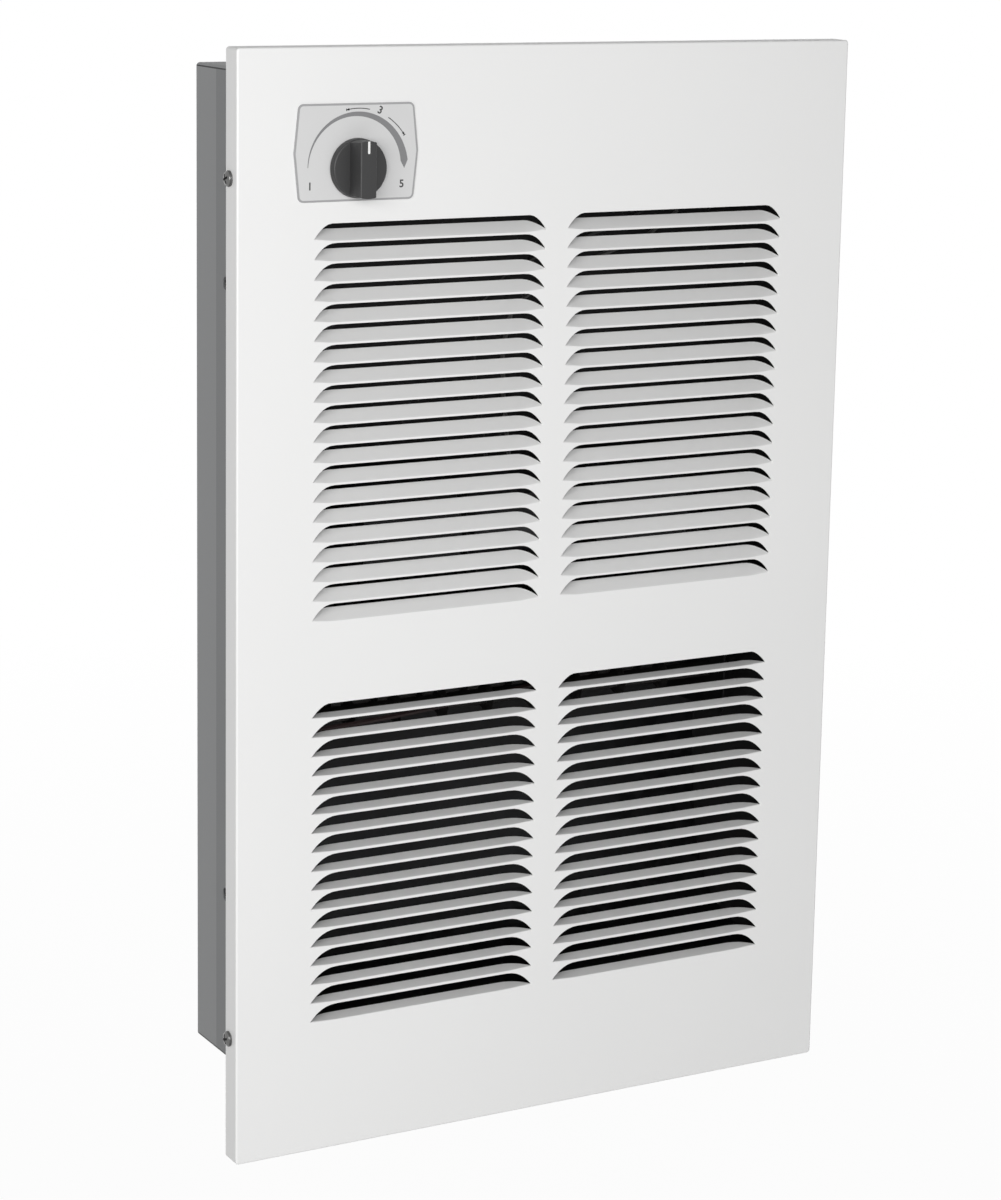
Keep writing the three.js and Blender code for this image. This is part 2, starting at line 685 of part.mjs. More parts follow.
function addSensor() {
  const bulb = turned([
    [0, -bulbLength], [0.7 * bulbRadius, -bulbLength + 0.6], [bulbRadius, -bulbLength + 3], [bulbRadius, -3],
    [0.7 * bulbRadius, -0.8], [0, 0],
  ], 'z', 10);
  addPart('sensing_bulb', bulb.translate([bulbX, bulbY, bulbTop]), finish(0xb98a5a, 0.35, 0.9));
  for (const [index, share] of [0.25, 0.75].entries()) {
    const z = bulbTop - bulbLength * share;
    const ends = [z - clipHeight / 2, z + clipHeight / 2];
    const collar = ring(bulbRadius + clipSheet, bulbRadius + slideGap, ...ends, 'z', 12);
    const wallX = -canInsideX + seatGap;
    const foot = block([wallX, wallX + clipSheet], [bulbY - 2, bulbY + 2 * clipHeight], ends);
    const arm = block([wallX, bulbX - bulbRadius - 0.4], [bulbY - 1, bulbY + 1], ends);
    const clip = join([collar.translate([bulbX, bulbY, 0]), foot, arm]);
    addPart(`bulb_clip_${index + 1}`, clip, zincPlate());
  }
  const startZ = knobZ - thermostatHeight / 2 - seatGap;
  const startX = dialX - 10;
  const route = [
    [startX, 20, startZ], [startX, 20, startZ - 8], [startX - 14, 18, startZ - 26],
    [bulbX + 6, bulbY + 2, startZ - 50], [bulbX, bulbY, bulbTop + 12], [bulbX, bulbY, bulbTop + seatGap],
  ];
  addPart('capillary_tube', tubeThrough(route, capillaryRadius, 14, 4), finish(0xb98a5a, 0.35, 0.9));
}

function addThermostat() {
  addPart('dial_plate', makeDialPlate(), finish(0xd6d6d5, 0.5, 0.1));
  addPart('thermostat_knob', makeKnob(), darkPlastic());
  addPart('knob_pointer', makePointer(), finish(0xf7f7f5, 0.5, 0));
  addPart('thermostat_shaft', makeThermostatShaft(), zincPlate());
  addPart('thermostat_body', makeThermostatBody(), finish(0x202124, 0.55, 0));
  addPart('thermostat_nut', makeThermostatNut(), zincPlate());
  addPart('thermostat_bracket', makeThermostatBracket(), galvanised());
  addSensor();
}

// ---------- blower ----------
// Scroll in the y-z plane: it widens from the cut-off round the front and top to the outlet at the back
function scrollOutline(inset, foot) {
  const start = scrollRadius - scrollGrowth;
  const steps = 12;
  const points = [];
  for (let i = 0; i <= steps; i += 1) {
    const share = i / steps;
    const angle = (-0.5 - 1.5 * share) * Math.PI;
    const radius = start + scrollGrowth * share - inset;
    points.push([axisY + radius * Math.cos(angle), axisZ + radius * Math.sin(angle)]);
  }
  const outletFront = axisY + scrollRadius - outletDepth + inset;
  points.push([axisY + scrollRadius - inset, foot], [outletFront, foot]);
  return polygon(points.reverse());
}

function makeScroll(side) {
  const far = scrollNearX + scrollWidth;
  const shell = barAlongX(scrollOutline(0, deckZ), scrollNearX, far);
  const innerOutline = scrollOutline(scrollSheet, deckZ - 2);
  const hollow = barAlongX(innerOutline, scrollNearX + scrollSheet, far - scrollSheet);
  const inlet = rod(inletRadius, far - scrollSheet - 1, far + 1, 'x', 16).translate([0, axisY, axisZ]);
  const hubHole = rod(wheelHubRadius + runGap, scrollNearX - 1, scrollNearX + 2, 'x', 12);
  const lipProfile = [
    [inletRadius, far - 0.5 * scrollSheet], [inletRadius + 3, far - 0.5 * scrollSheet],
    [inletRadius + 2.4, far + 1.6], [inletRadius + 1, far + 2.2], [inletRadius, far - 0.5 * scrollSheet],
  ];
  const lip = turned(lipProfile, 'x', 16).translate([0, axisY, axisZ]);
  const housing = cut(shell, [hollow, inlet, hubHole.translate([0, axisY, axisZ])]).add(lip);
  return side > 0 ? housing : housing.mirror([1, 0, 0]);
}

// Forward-curved cage: blades between the back plate, on the motor's side, and the inlet ring
function makeWheel(side) {
  const inner = wheelRadius - wheelBladeDepth;
  const outer = wheelRadius - 0.4;
  const [lean, sheet] = [wheelBladeLean, wheelBladeSheet];
  const blades = [];
  for (let i = 0; i < wheelBlades; i += 1) {
    const shape = polygon([[inner, -lean], [outer, lean], [outer, lean + sheet], [inner, sheet - lean]]);
    const blade = barAlongX(shape, wheelSheet / 2, wheelWidth - wheelRing / 2);
    blades.push(blade.rotate([360 * i / wheelBlades, 0, 0]));
  }
  const plate = rod(wheelRadius, 0, wheelSheet, 'x', wheelBlades);
  const hub = rod(wheelHubRadius, 0, wheelHub, 'x', 10);
  const inletRing = ring(wheelRadius, inner + 3, wheelWidth - wheelRing, wheelWidth, 'x', wheelBlades);
  const bore = rod(motorShaftRadius + slideGap, -1, wheelHub + 1, 'x', 12);
  const wheel = join([plate, hub, inletRing, ...blades]).subtract(bore);
  const placed = wheel.translate([scrollNearX + scrollSheet + wheelSideGap, axisY, axisZ]);
  return side > 0 ? placed : placed.mirror([1, 0, 0]);
}

function makeMotorBody() {
  const half = motorLength / 2;
  const hubEnd = motorHubEnd;
  const seat = bearingRadius + slideGap;
  const bore = motorShaftRadius + 1;
  const profile = [
    [seat, -hubEnd], [motorHubRadius, -hubEnd], [motorHubRadius, -half], [0.8 * motorRadius, -half],
    [motorRadius, -0.8 * half], [motorRadius, 0.8 * half], [0.8 * motorRadius, half], [motorHubRadius, half],
    [motorHubRadius, hubEnd], [seat, hubEnd], [seat, hubEnd - bearingLength], [bore, hubEnd - bearingLength],
    [bore, -hubEnd + bearingLength], [seat, -hubEnd + bearingLength], [seat, -hubEnd],
  ];
  return turned(profile, 'x', 14).translate([0, axisY, axisZ]);
}

// Cradle of folded sheet with a round seat for each rubber ring
function makeCradle() {
  const half = cradleWidth / 2;
  const outerX = cradleX + cradleSheet / 2;
  const innerX = cradleX - cradleSheet / 2;
  const base = block([-outerX, outerX], [axisY - half, axisY + half], [deckZ, deckZ + cradleSheet]);
  const top = axisZ + mountRingRadius + 6;
  const cheek = new THREE.Shape();
  cheek.moveTo(axisY - half, deckZ);
  cheek.lineTo(axisY + half, deckZ);
  cheek.lineTo(axisY + mountRingRadius + 6, axisZ);
  cheek.quadraticCurveTo(axisY + mountRingRadius + 6, top, axisY, top);
  cheek.quadraticCurveTo(axisY - mountRingRadius - 6, top, axisY - mountRingRadius - 6, axisZ);
  const cheeks = [[-outerX, -innerX], [innerX, outerX]].map(([x0, x1]) => (
    barAlongX(cheek, x0, x1, { curveSegments: 4 })));
  const seat = rod(mountRingRadius + slideGap, -outerX - 1, outerX + 1, 'x', 14)
    .translate([0, axisY, axisZ]);
  const screwHoles = cradleScrewPlaces().map(([x, y]) => (
    rod(screwRadius + slideGap, deckZ - 1, deckZ + cradleSheet + 1, 'z', 8).translate([x, y, 0])));
  return cut(join([base, ...cheeks]), [seat, ...screwHoles]);
}

function cradleScrewPlaces() {
  return [[0, axisY - cradleWidth / 3], [0, axisY + cradleWidth / 3]];
}

function addBlower() {
  for (const [name, side] of [['left', -1], ['right', 1]]) {
    addPart(`scroll_housing_${name}`, makeScroll(side), galvanised());
    addPart(`blower_wheel_${name}`, makeWheel(side), galvanised());
    const bearingEnds = [-bearingLength / 2, bearingLength / 2];
    const bearing = ring(bearingRadius, motorShaftRadius + slideGap, ...bearingEnds, 'x', 14);
    const bearingX = side * (motorHubEnd - bearingLength / 2);
    const bearingPlace = [bearingX, axisY, axisZ];
    addPart(`motor_bearing_${name}`, bearing.translate(bearingPlace), finish(0xa8824f, 0.4, 0.8));
    const ringEnds = [-mountRingWidth / 2, mountRingWidth / 2];
    const mount = ring(mountRingRadius, motorHubRadius + slideGap, ...ringEnds, 'x', 14);
    const ringPlace = [side * cradleX, axisY, axisZ];
    addPart(`motor_ring_${name}`, mount.translate(ringPlace), finish(0x161616, 0.85, 0));
  }
  const shaftEnd = scrollNearX + scrollSheet + wheelSideGap + wheelHub + 1;
  const shaft = rod(motorShaftRadius, -shaftEnd, shaftEnd, 'x', 12).translate([0, axisY, axisZ]);
  addPart('motor_shaft', shaft, finish(0xc4c4c2, 0.25, 1));
  addPart('motor_body', makeMotorBody(), finish(0x2a2b2d, 0.5, 0.4));
  addPart('motor_cradle', makeCradle(), galvanised());
  cradleScrewPlaces().forEach(([x, y], index) => {
    const body = screw(screwRadius, cradleSheet + deckSheet, screwHead, screwHeadHeight).rotate([90, 0, 0]);
    const seat = deckZ + cradleSheet + slideGap;
    addPart(`cradle_screw_${index + 1}`, body.translate([x, y, seat]), zincPlate());
  });
}

// ---------- deck and heating section ----------
function makeDeck() {
  const half = canInsideX - seatGap;
  const [front, back] = [faceBackY + runGap, canBackY - seatGap];
  const rearHalf = half - canBend;
  const outline = polygon([
    [-half, front], [half, front], [half, back - canBend], [rearHalf, back],
    [-rearHalf, back], [-half, back - canBend],
  ]);
  const plate = slabAlongZ(outline, deckZ - deckSheet, deckZ);
  const rearZ = [deckZ - deckSheet - deckFlange, deckZ];
  const rear = block([-rearHalf, rearHalf], [back - deckSheet, back], rearZ);
  const lip = block([-half, half], [front, front + deckSheet], [deckZ - deckFlange / 2, deckZ]);
  const outletY = [axisY + scrollRadius - outletDepth + scrollSheet, axisY + scrollRadius - scrollSheet];
  const holes = [-1, 1].map((side) => {
    const middle = side * scrollMidX;
    const reach = scrollWidth / 2 - scrollSheet;
    return block([middle - reach, middle + reach], outletY, [deckZ - deckSheet - 1, deckZ + 1]);
  });
  for (const x of [-leadHoleX, leadHoleX]) {
    const hole = rod(leadHoleRadius, deckZ - deckSheet - 1, deckZ + 1, 'z', 10);
    holes.push(hole.translate([x, leadHoleDepth, 0]));
  }
  for (const [x, y] of cradleScrewPlaces()) {
    holes.push(rod(screwRadius + slideGap, deckZ - deckSheet - 1, deckZ + 1, 'z', 8).translate([x, y, 0]));
  }
  for (const [x, z] of deckScrewPlaces()) {
    holes.push(rod(screwRadius + slideGap, back - deckSheet - 1, back + 1, 'y', 8).translate([x, 0, z]));
  }
  return cut(join([plate, rear, lip]), holes);
}

// One leg of the sheathed element, with its pressed-on fins and a cold pin at the terminal end
function elementLeg() {
  const pinStart = -elementPlateX - elementPinReach;
  const sheathStart = -elementPlateX - 8;
  const sheathEnd = elementPlateX + 4;
  const finCount = Math.floor((2 * elementPlateX - 20) / elementFinPitch);
  const finStart = -(finCount - 1) * elementFinPitch / 2;
  const pin = 0.5 * elementTubeRadius;
  const profile = [[0, pinStart], [pin, pinStart], [pin, sheathStart], [elementTubeRadius, sheathStart]];
  for (let i = 0; i < finCount; i += 1) {
    const x = finStart + i * elementFinPitch;
    const fin = [[elementTubeRadius, x - elementFinHalf], [elementFinRadius, x]];
    profile.push(...fin, [elementTubeRadius, x + elementFinHalf]);
  }
  profile.push([elementTubeRadius, sheathEnd], [0, sheathEnd]);
  return turned(profile, 'x', 8);
}

function makeElement() {
  const reach = elementLegSpacing / 2;
  const startX = elementPlateX + 3;
  const bend = [];
  for (let i = 0; i <= 8; i += 1) {
    const angle = (-0.5 + i / 8) * Math.PI;
    bend.push([startX + reach * Math.cos(angle), elementY + reach * Math.sin(angle), elementZ]);
  }
  const hairpin = tubeThrough(bend, elementTubeRadius, 8, 8);
  const legs = [-reach, reach].map((offset) => elementLeg().translate([0, elementY + offset, elementZ]));
  return join([...legs, hairpin]);
}

function makeElementBracket(side) {
  const top = deckZ - deckSheet;
  const middleZ = top - elementBracketHeight / 2;
  const face = roundedRectangle(elementBracketDepth, elementBracketHeight, 4, elementY, middleZ);
  const plateX = [side * elementPlateX, side * (elementPlateX + deckSheet)].sort((a, b) => a - b);
  const plate = barAlongX(face, ...plateX, { curveSegments: 2 });
  const footX = [side * elementPlateX, side * (elementPlateX + elementFoot)].sort((a, b) => a - b);
  const half = elementBracketDepth / 2 - 4;
  const foot = block(footX, [elementY - half, elementY + half], [top - deckSheet, top]);
  const holes = [-1, 1].map((end) => rod(elementTubeRadius + slideGap, plateX[0] - 1, plateX[1] + 1, 'x', 8)
    .translate([0, elementY + end * elementLegSpacing / 2, elementZ]));
  return cut(plate.add(foot), holes);
}

// Curved sheet that turns the falling air forwards through the lower louvres
function makeDeflector() {
  const backY = canBackY - seatGap;
  const topZ = deckZ - deflectorDrop;
  const footZ = lowerFootZ - 8;
  const frontY = faceBackY + louvreCut;
  const curve = new THREE.CubicBezierCurve(
    new THREE.Vector2(backY, topZ), new THREE.Vector2(backY, footZ + 20),
    new THREE.Vector2(backY - 20, footZ), new THREE.Vector2(frontY, footZ));
  const half = canInsideX - canBend;
  return barAlongX(sheetAlong(curve, deflectorSheet, 12), -half, half);
}

// Disc thermostat that opens if the element overheats
function makeLimitSwitch() {
  const disc = turned([[0, -9], [6, -9], [7.5, -7.5], [7.5, -1], [8.5, -1], [8.5, 0], [0, 0]], 'z', 10);
  const ears = slabAlongZ(roundedRectangle(32, 8, 3), -1, 0, { curveSegments: 2 });
  const blades = [-3.5, 3.5].map((x) => block([x - 0.5, x + 0.5], [-3, 3], [-16, -8]));
  return join([disc, ears, ...blades]);
}

function addHeatingSection() {
  addPart('blower_deck', makeDeck(), galvanised());
  deckScrewPlaces().forEach(([x, z], index) => {
    const length = deckSheet + canSheet + seatGap;
    const body = screw(screwRadius, length, screwHead, screwHeadHeight).rotate([180, 0, 0]);
    const seat = canBackY - seatGap - deckSheet - slideGap;
    addPart(`deck_screw_${index + 1}`, body.translate([x, seat, z]), zincPlate());
  });
  addPart('heating_element', makeElement(), finish(0x6d6a66, 0.5, 0.7));
  addPart('element_bracket_left', makeElementBracket(-1), galvanised());
  addPart('element_bracket_right', makeElementBracket(1), galvanised());
  addPart('limit_switch', makeLimitSwitch().translate(limitPlace), finish(0x6b4a33, 0.5, 0));
  addPart('air_deflector', makeDeflector(), galvanised());
}

// ---------- wiring ----------
function makeTerminalBlock() {
  const y = [terminalFrontY, canBackY - seatGap];
  const body = block([-terminalBlockWidth / 2, terminalBlockWidth / 2], y,
    [-terminalBlockHeight / 2, terminalBlockHeight / 2]);
  const wells = [-1, 0, 1].map((place) => block(
    [place * terminalSpacing - terminalWell / 2, place * terminalSpacing + terminalWell / 2],
    [terminalFrontY - 1, terminalFrontY + terminalWellDepth],
    [-terminalBlockHeight / 2 - 1, terminalBlockHeight / 2 - 4]));
  const bottomY = terminalFrontY + terminalWellDepth;
  const holes = [-1, 0, 1].map((place) => (
    rod(terminalScrewRadius + slideGap, bottomY - 1, bottomY + 4, 'y', 8)
      .translate([place * terminalSpacing, 0, 0])));
  return cut(body, [...wells, ...holes]).translate([terminalX, 0, terminalZ]);
}

function leadRoutes() {
  const wellY = terminalFrontY + 3;
  const wellZ = terminalZ - terminalBlockHeight / 2 - seatGap;
  const bladeY = bracketBackY + thermostatDepth + bladeTabLength + seatGap;
  const tabX = bladeTabSpacing / 2;
  const holeX = -leadHoleX;
  const holeY = leadHoleDepth;
  const [limitX, limitY, limitZ] = limitPlace;
  const underDeck = deckZ - deckSheet - 24;
  const pinX = -elementPlateX - elementPinReach - seatGap;
  const frontLeg = elementY - elementLegSpacing / 2;
  const backLeg = elementY + elementLegSpacing / 2;
  const motorTop = axisZ + motorRadius + seatGap;
  const backY = canBackY - leadBackGap;
  return {
    lead_line_to_thermostat: [
      [terminalX - terminalSpacing, wellY, wellZ], [terminalX - terminalSpacing, wellY, wellZ - 14],
      [terminalX - terminalBlockWidth, wellY - 4, wellZ - 24], [0, wellY, knobZ - 6],
      [dialX + thermostatWidth, bladeY + 32, knobZ - 2],
      [dialX + tabX + 4, bladeY + 20, knobZ], [dialX + tabX, bladeY + 6, knobZ],
      [dialX + tabX, bladeY, knobZ],
    ],
    lead_thermostat_to_limit: [
      [dialX - tabX, bladeY, knobZ], [dialX - tabX, bladeY + 8, knobZ],
      [dialX - 2 * tabX, bladeY + 16, knobZ - 16], [holeX, holeY, knobZ - 1.5 * thermostatHeight],
      [holeX, holeY, axisZ + scrollRadius], [holeX, holeY, deckZ + 8],
      [holeX, holeY, deckZ - 8], [holeX + 4, 40, underDeck + 6],
      [-elementPlateX - 8, 12, underDeck + 6], [-elementPlateX + 12, 5, underDeck + 6],
      [limitX - 60, 10, underDeck + 4], [limitX - 16, limitY, underDeck + 3],
      [limitX - 3.5, limitY, limitZ - 22], [limitX - 3.5, limitY, limitZ - 16 - seatGap],
    ],
    lead_limit_to_element: [
      [limitX + 3.5, limitY, limitZ - 16 - seatGap], [limitX + 3.5, limitY, limitZ - 24],
      [limitX - 14, limitY - 4, limitZ - 32], [-60, 4, elementZ + 6], [-elementPlateX - 4, 6, elementZ],
      [pinX - 8, 14, elementZ], [pinX - 9, frontLeg - 4, elementZ], [pinX - 5, frontLeg, elementZ],
      [pinX, frontLeg, elementZ],
    ],
    lead_element_to_neutral: [
      [pinX, backLeg, elementZ], [pinX - 5, backLeg, elementZ], [pinX - 9, backLeg + 5, elementZ + 4],
      [pinX - 6, backY, elementZ + 20],
      [holeX + 3, backY - 17, deckZ - 22], [holeX + 3.4, holeY, deckZ - 6],
      [holeX + 3.4, holeY, deckZ + 10], [holeX + 8, backY - 11, deckZ + 60],
      [holeX + 10, backY - 3, 180], [-90, backY, 224], [60, backY, 232],
      [terminalX, wellY + 4, wellZ - 16], [terminalX, wellY, wellZ],
    ],
    lead_motor_line: [
      [-8, axisY, motorTop], [-8, axisY, motorTop + 10], [-2, backY - 15, motorTop + 36],
      [10, backY - 3, 160], [terminalX - terminalSpacing + 30, backY - 7, 214],
      [terminalX - terminalSpacing + 4, wellY, wellZ - 16],
      [terminalX - terminalSpacing + 4, wellY, wellZ],
    ],
    lead_motor_neutral: [
      [8, axisY, motorTop], [8, axisY, motorTop + 10], [16, backY - 19, motorTop + 30],
      [28, backY - 7, 150], [terminalX + 24, backY - 11, 206],
      [terminalX + 4, wellY, wellZ - 16], [terminalX + 4, wellY, wellZ],
    ],
  };
}

const leadColours = {
  lead_line_to_thermostat: 0x1c1c1c,
  lead_thermostat_to_limit: 0xb02a22,
  lead_limit_to_element: 0xb02a22,
  lead_element_to_neutral: 0xe8e6e0,
  lead_motor_line: 0x1c1c1c,
  lead_motor_neutral: 0xe8e6e0,
};

function addWiring() {
  addPart('terminal_block', makeTerminalBlock(), finish(0xe4e0d2, 0.5, 0));
  [-1, 0, 1].forEach((place, index) => {
    const body = screw(terminalScrewRadius, 4, terminalScrewHead, 2, 6).rotate([180, 0, 0]);
    const y = terminalFrontY + terminalWellDepth - seatGap;
    const hole = [terminalX + place * terminalSpacing, y, terminalZ];
    addPart(`terminal_screw_${index + 1}`, body.translate(hole), finish(0xb08a4a, 0.35, 0.9));
  });
  const ground = screw(screwRadius, canSheet, screwHead + 0.6, screwHeadHeight).rotate([180, 0, 0]);
  const groundPlace = [groundX, canBackY - slideGap, terminalZ];
  addPart('ground_screw', ground.translate(groundPlace), finish(0x2e7d46, 0.4, 0.4));
  for (const [name, points] of Object.entries(leadRoutes())) {
    const lead = tubeThrough(points, leadRadius, Math.round(1.5 * points.length), 5);
    addPart(name, lead, finish(leadColours[name], 0.6, 0));
  }
}

// ---------- assembly ----------
addPart('front_grille', makeFrontGrille(), whitePaint());
addPart('wall_can', makeWallCan(), greyPaint());
addPanelFixings();
addThermostat();
addBlower();
addHeatingSection();
addWiring();

export default heater;
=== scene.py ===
# Recessed bathroom wall heater: a louvred white panel over a grey can. Lengths are in metres.
import json
import math

import bmesh
import bpy
from mathutils import Matrix, Vector


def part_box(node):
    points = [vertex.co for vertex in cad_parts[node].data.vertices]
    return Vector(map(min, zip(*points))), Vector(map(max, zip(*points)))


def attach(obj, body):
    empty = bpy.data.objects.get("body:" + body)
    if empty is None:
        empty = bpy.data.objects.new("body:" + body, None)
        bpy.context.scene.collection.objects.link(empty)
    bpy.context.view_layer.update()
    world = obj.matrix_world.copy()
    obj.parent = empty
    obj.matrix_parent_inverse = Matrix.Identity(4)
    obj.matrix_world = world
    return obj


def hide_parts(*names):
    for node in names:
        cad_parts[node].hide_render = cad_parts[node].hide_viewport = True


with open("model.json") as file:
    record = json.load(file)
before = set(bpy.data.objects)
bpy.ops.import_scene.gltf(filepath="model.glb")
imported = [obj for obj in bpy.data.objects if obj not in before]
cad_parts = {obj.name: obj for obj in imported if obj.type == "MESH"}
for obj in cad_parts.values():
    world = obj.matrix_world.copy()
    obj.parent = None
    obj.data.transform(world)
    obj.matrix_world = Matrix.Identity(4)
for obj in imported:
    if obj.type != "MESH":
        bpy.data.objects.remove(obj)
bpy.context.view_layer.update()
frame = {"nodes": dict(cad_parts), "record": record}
print("frame loaded:", len(frame["nodes"]), "nodes")


# shader maths

class Signal:  # one output socket of a material; arithmetic on it adds Math nodes
    def __init__(self, tree, socket):
        self.tree = tree
        self.socket = socket

    def node(self, kind, settings, inputs, output=0):
        made = self.tree.nodes.new("ShaderNode" + kind)
        for name, value in settings.items():
            setattr(made, name, value)
        for name, value in inputs.items():
            if isinstance(value, Signal):
                self.tree.links.new(value.socket, made.inputs[name])
            else:
                made.inputs[name].default_value = value
        return Signal(self.tree, made.outputs[output])

    def math(self, operation, *values):
        return self.node("Math", {"operation": operation}, dict(enumerate(values)))

    def __add__(self, other):
        return self.math("ADD", self, other)

    def __sub__(self, other):
        return self.math("SUBTRACT", self, other)

    def __mul__(self, other):
        return self.math("MULTIPLY", self, other)

    def __rsub__(self, other):
        return self.math("SUBTRACT", other, self)

    __radd__ = __add__
    __rmul__ = __mul__

    def blend(self, low, high):  # a colour between two, picked by this signal
        return self.node("Mix", {"data_type": "RGBA"}, {0: self, 6: low, 7: high}, 2)

    def noise(self, scale, detail=2.0, rough=0.5):
        inputs = {"Vector": self, "Scale": scale, "Detail": detail, "Roughness": rough}
        return self.node("TexNoise", {}, inputs)

    def into(self, shader, name):
        self.tree.links.new(self.socket, shader.inputs[name])


def shade(color, factor):  # a paler or darker shade of a colour, with its alpha
    return tuple(min(1.0, part * factor) for part in color) + (1.0,)


def newFinish(name, look):
    material = bpy.data.materials.new(name)
    material.use_nodes = True
    shader = material.node_tree.nodes["Principled BSDF"]
    coordinates = material.node_tree.nodes.new("ShaderNodeTexCoord")
    material.diffuse_color = shade(look["color"], 1.0)
    shader.inputs["Metallic"].default_value = look.get("metal", 0.0)
    shader.inputs["Coat Weight"].default_value = look.get("coat", 0.0)
    return material, shader, Signal(material.node_tree, coordinates.outputs["Object"])


def tint(shader, look, pattern):  # the pattern runs from a darker to a paler shade of the look's colour
    low = shade(look["color"], 1 - look["spread"])
    high = shade(look["color"], 1 + look["spread"])
    pattern.blend(low, high).into(shader, "Base Color")


def unevenGloss(shader, look, pattern, swing):
    noiseMiddle = 0.5
    (look["rough"] + (pattern - noiseMiddle) * swing).into(shader, "Roughness")


def relief(shader, pattern, strength, depth):
    inputs = {"Height": pattern, "Strength": strength, "Distance": depth}
    pattern.node("Bump", {}, inputs).into(shader, "Normal")


# each kind of surface: the swing of its roughness, and its relief
paint = {"swing": 0.1, "strength": 0.3, "mottleDetail": 3.0, "grainDetail": 1.0}
spangles = {"swing": 0.22, "strength": 0.15, "depth": 0.00003, "cellShare": 0.7, "grainDetail": 2.0}
brushing = {"swing": 0.2, "strength": 0.1, "depth": 0.00002, "detail": 2.0, "lineRough": 0.6}


# paint, plastic and rubber: soft mottling, a fine grain and an uneven gloss
def grainedFinish(name, look):
    material, shader, place = newFinish(name, look)
    mottle = place.noise(look["mottle"], paint["mottleDetail"])
    grain = place.noise(look["grain"], paint["grainDetail"])
    tint(shader, look, mottle)
    unevenGloss(shader, look, mottle, paint["swing"])
    relief(shader, grain, paint["strength"], look["grainDepth"])
    return material


# hot-dip zinc: spangles that differ in shade and gloss
def spangledFinish(name, look):
    material, shader, place = newFinish(name, look)
    inputs = {"Vector": place, "Scale": look["spangle"]}
    cells = place.node("TexVoronoi", {"feature": "F1"}, inputs, "Color")
    value = cells.node("SeparateColor", {}, {0: cells})
    grain = place.noise(look["grain"], spangles["grainDetail"])
    tint(shader, look, value * spangles["cellShare"] + grain * (1 - spangles["cellShare"]))
    unevenGloss(shader, look, value, spangles["swing"])
    relief(shader, grain, spangles["strength"], spangles["depth"])
    return material


# drawn or ground metal: fine lines along one axis
def drawnFinish(name, look):
    material, shader, place = newFinish(name, look)
    stretched = place.node("Mapping", {}, {"Vector": place, "Scale": look["lines"]})
    lines = stretched.noise(1.0, brushing["detail"], brushing["lineRough"])
    cloud = place.noise(look["mottle"], brushing["detail"])
    tint(shader, look, cloud)
    unevenGloss(shader, look, lines, brushing["swing"])
    relief(shader, lines, brushing["strength"], brushing["depth"])
    return material


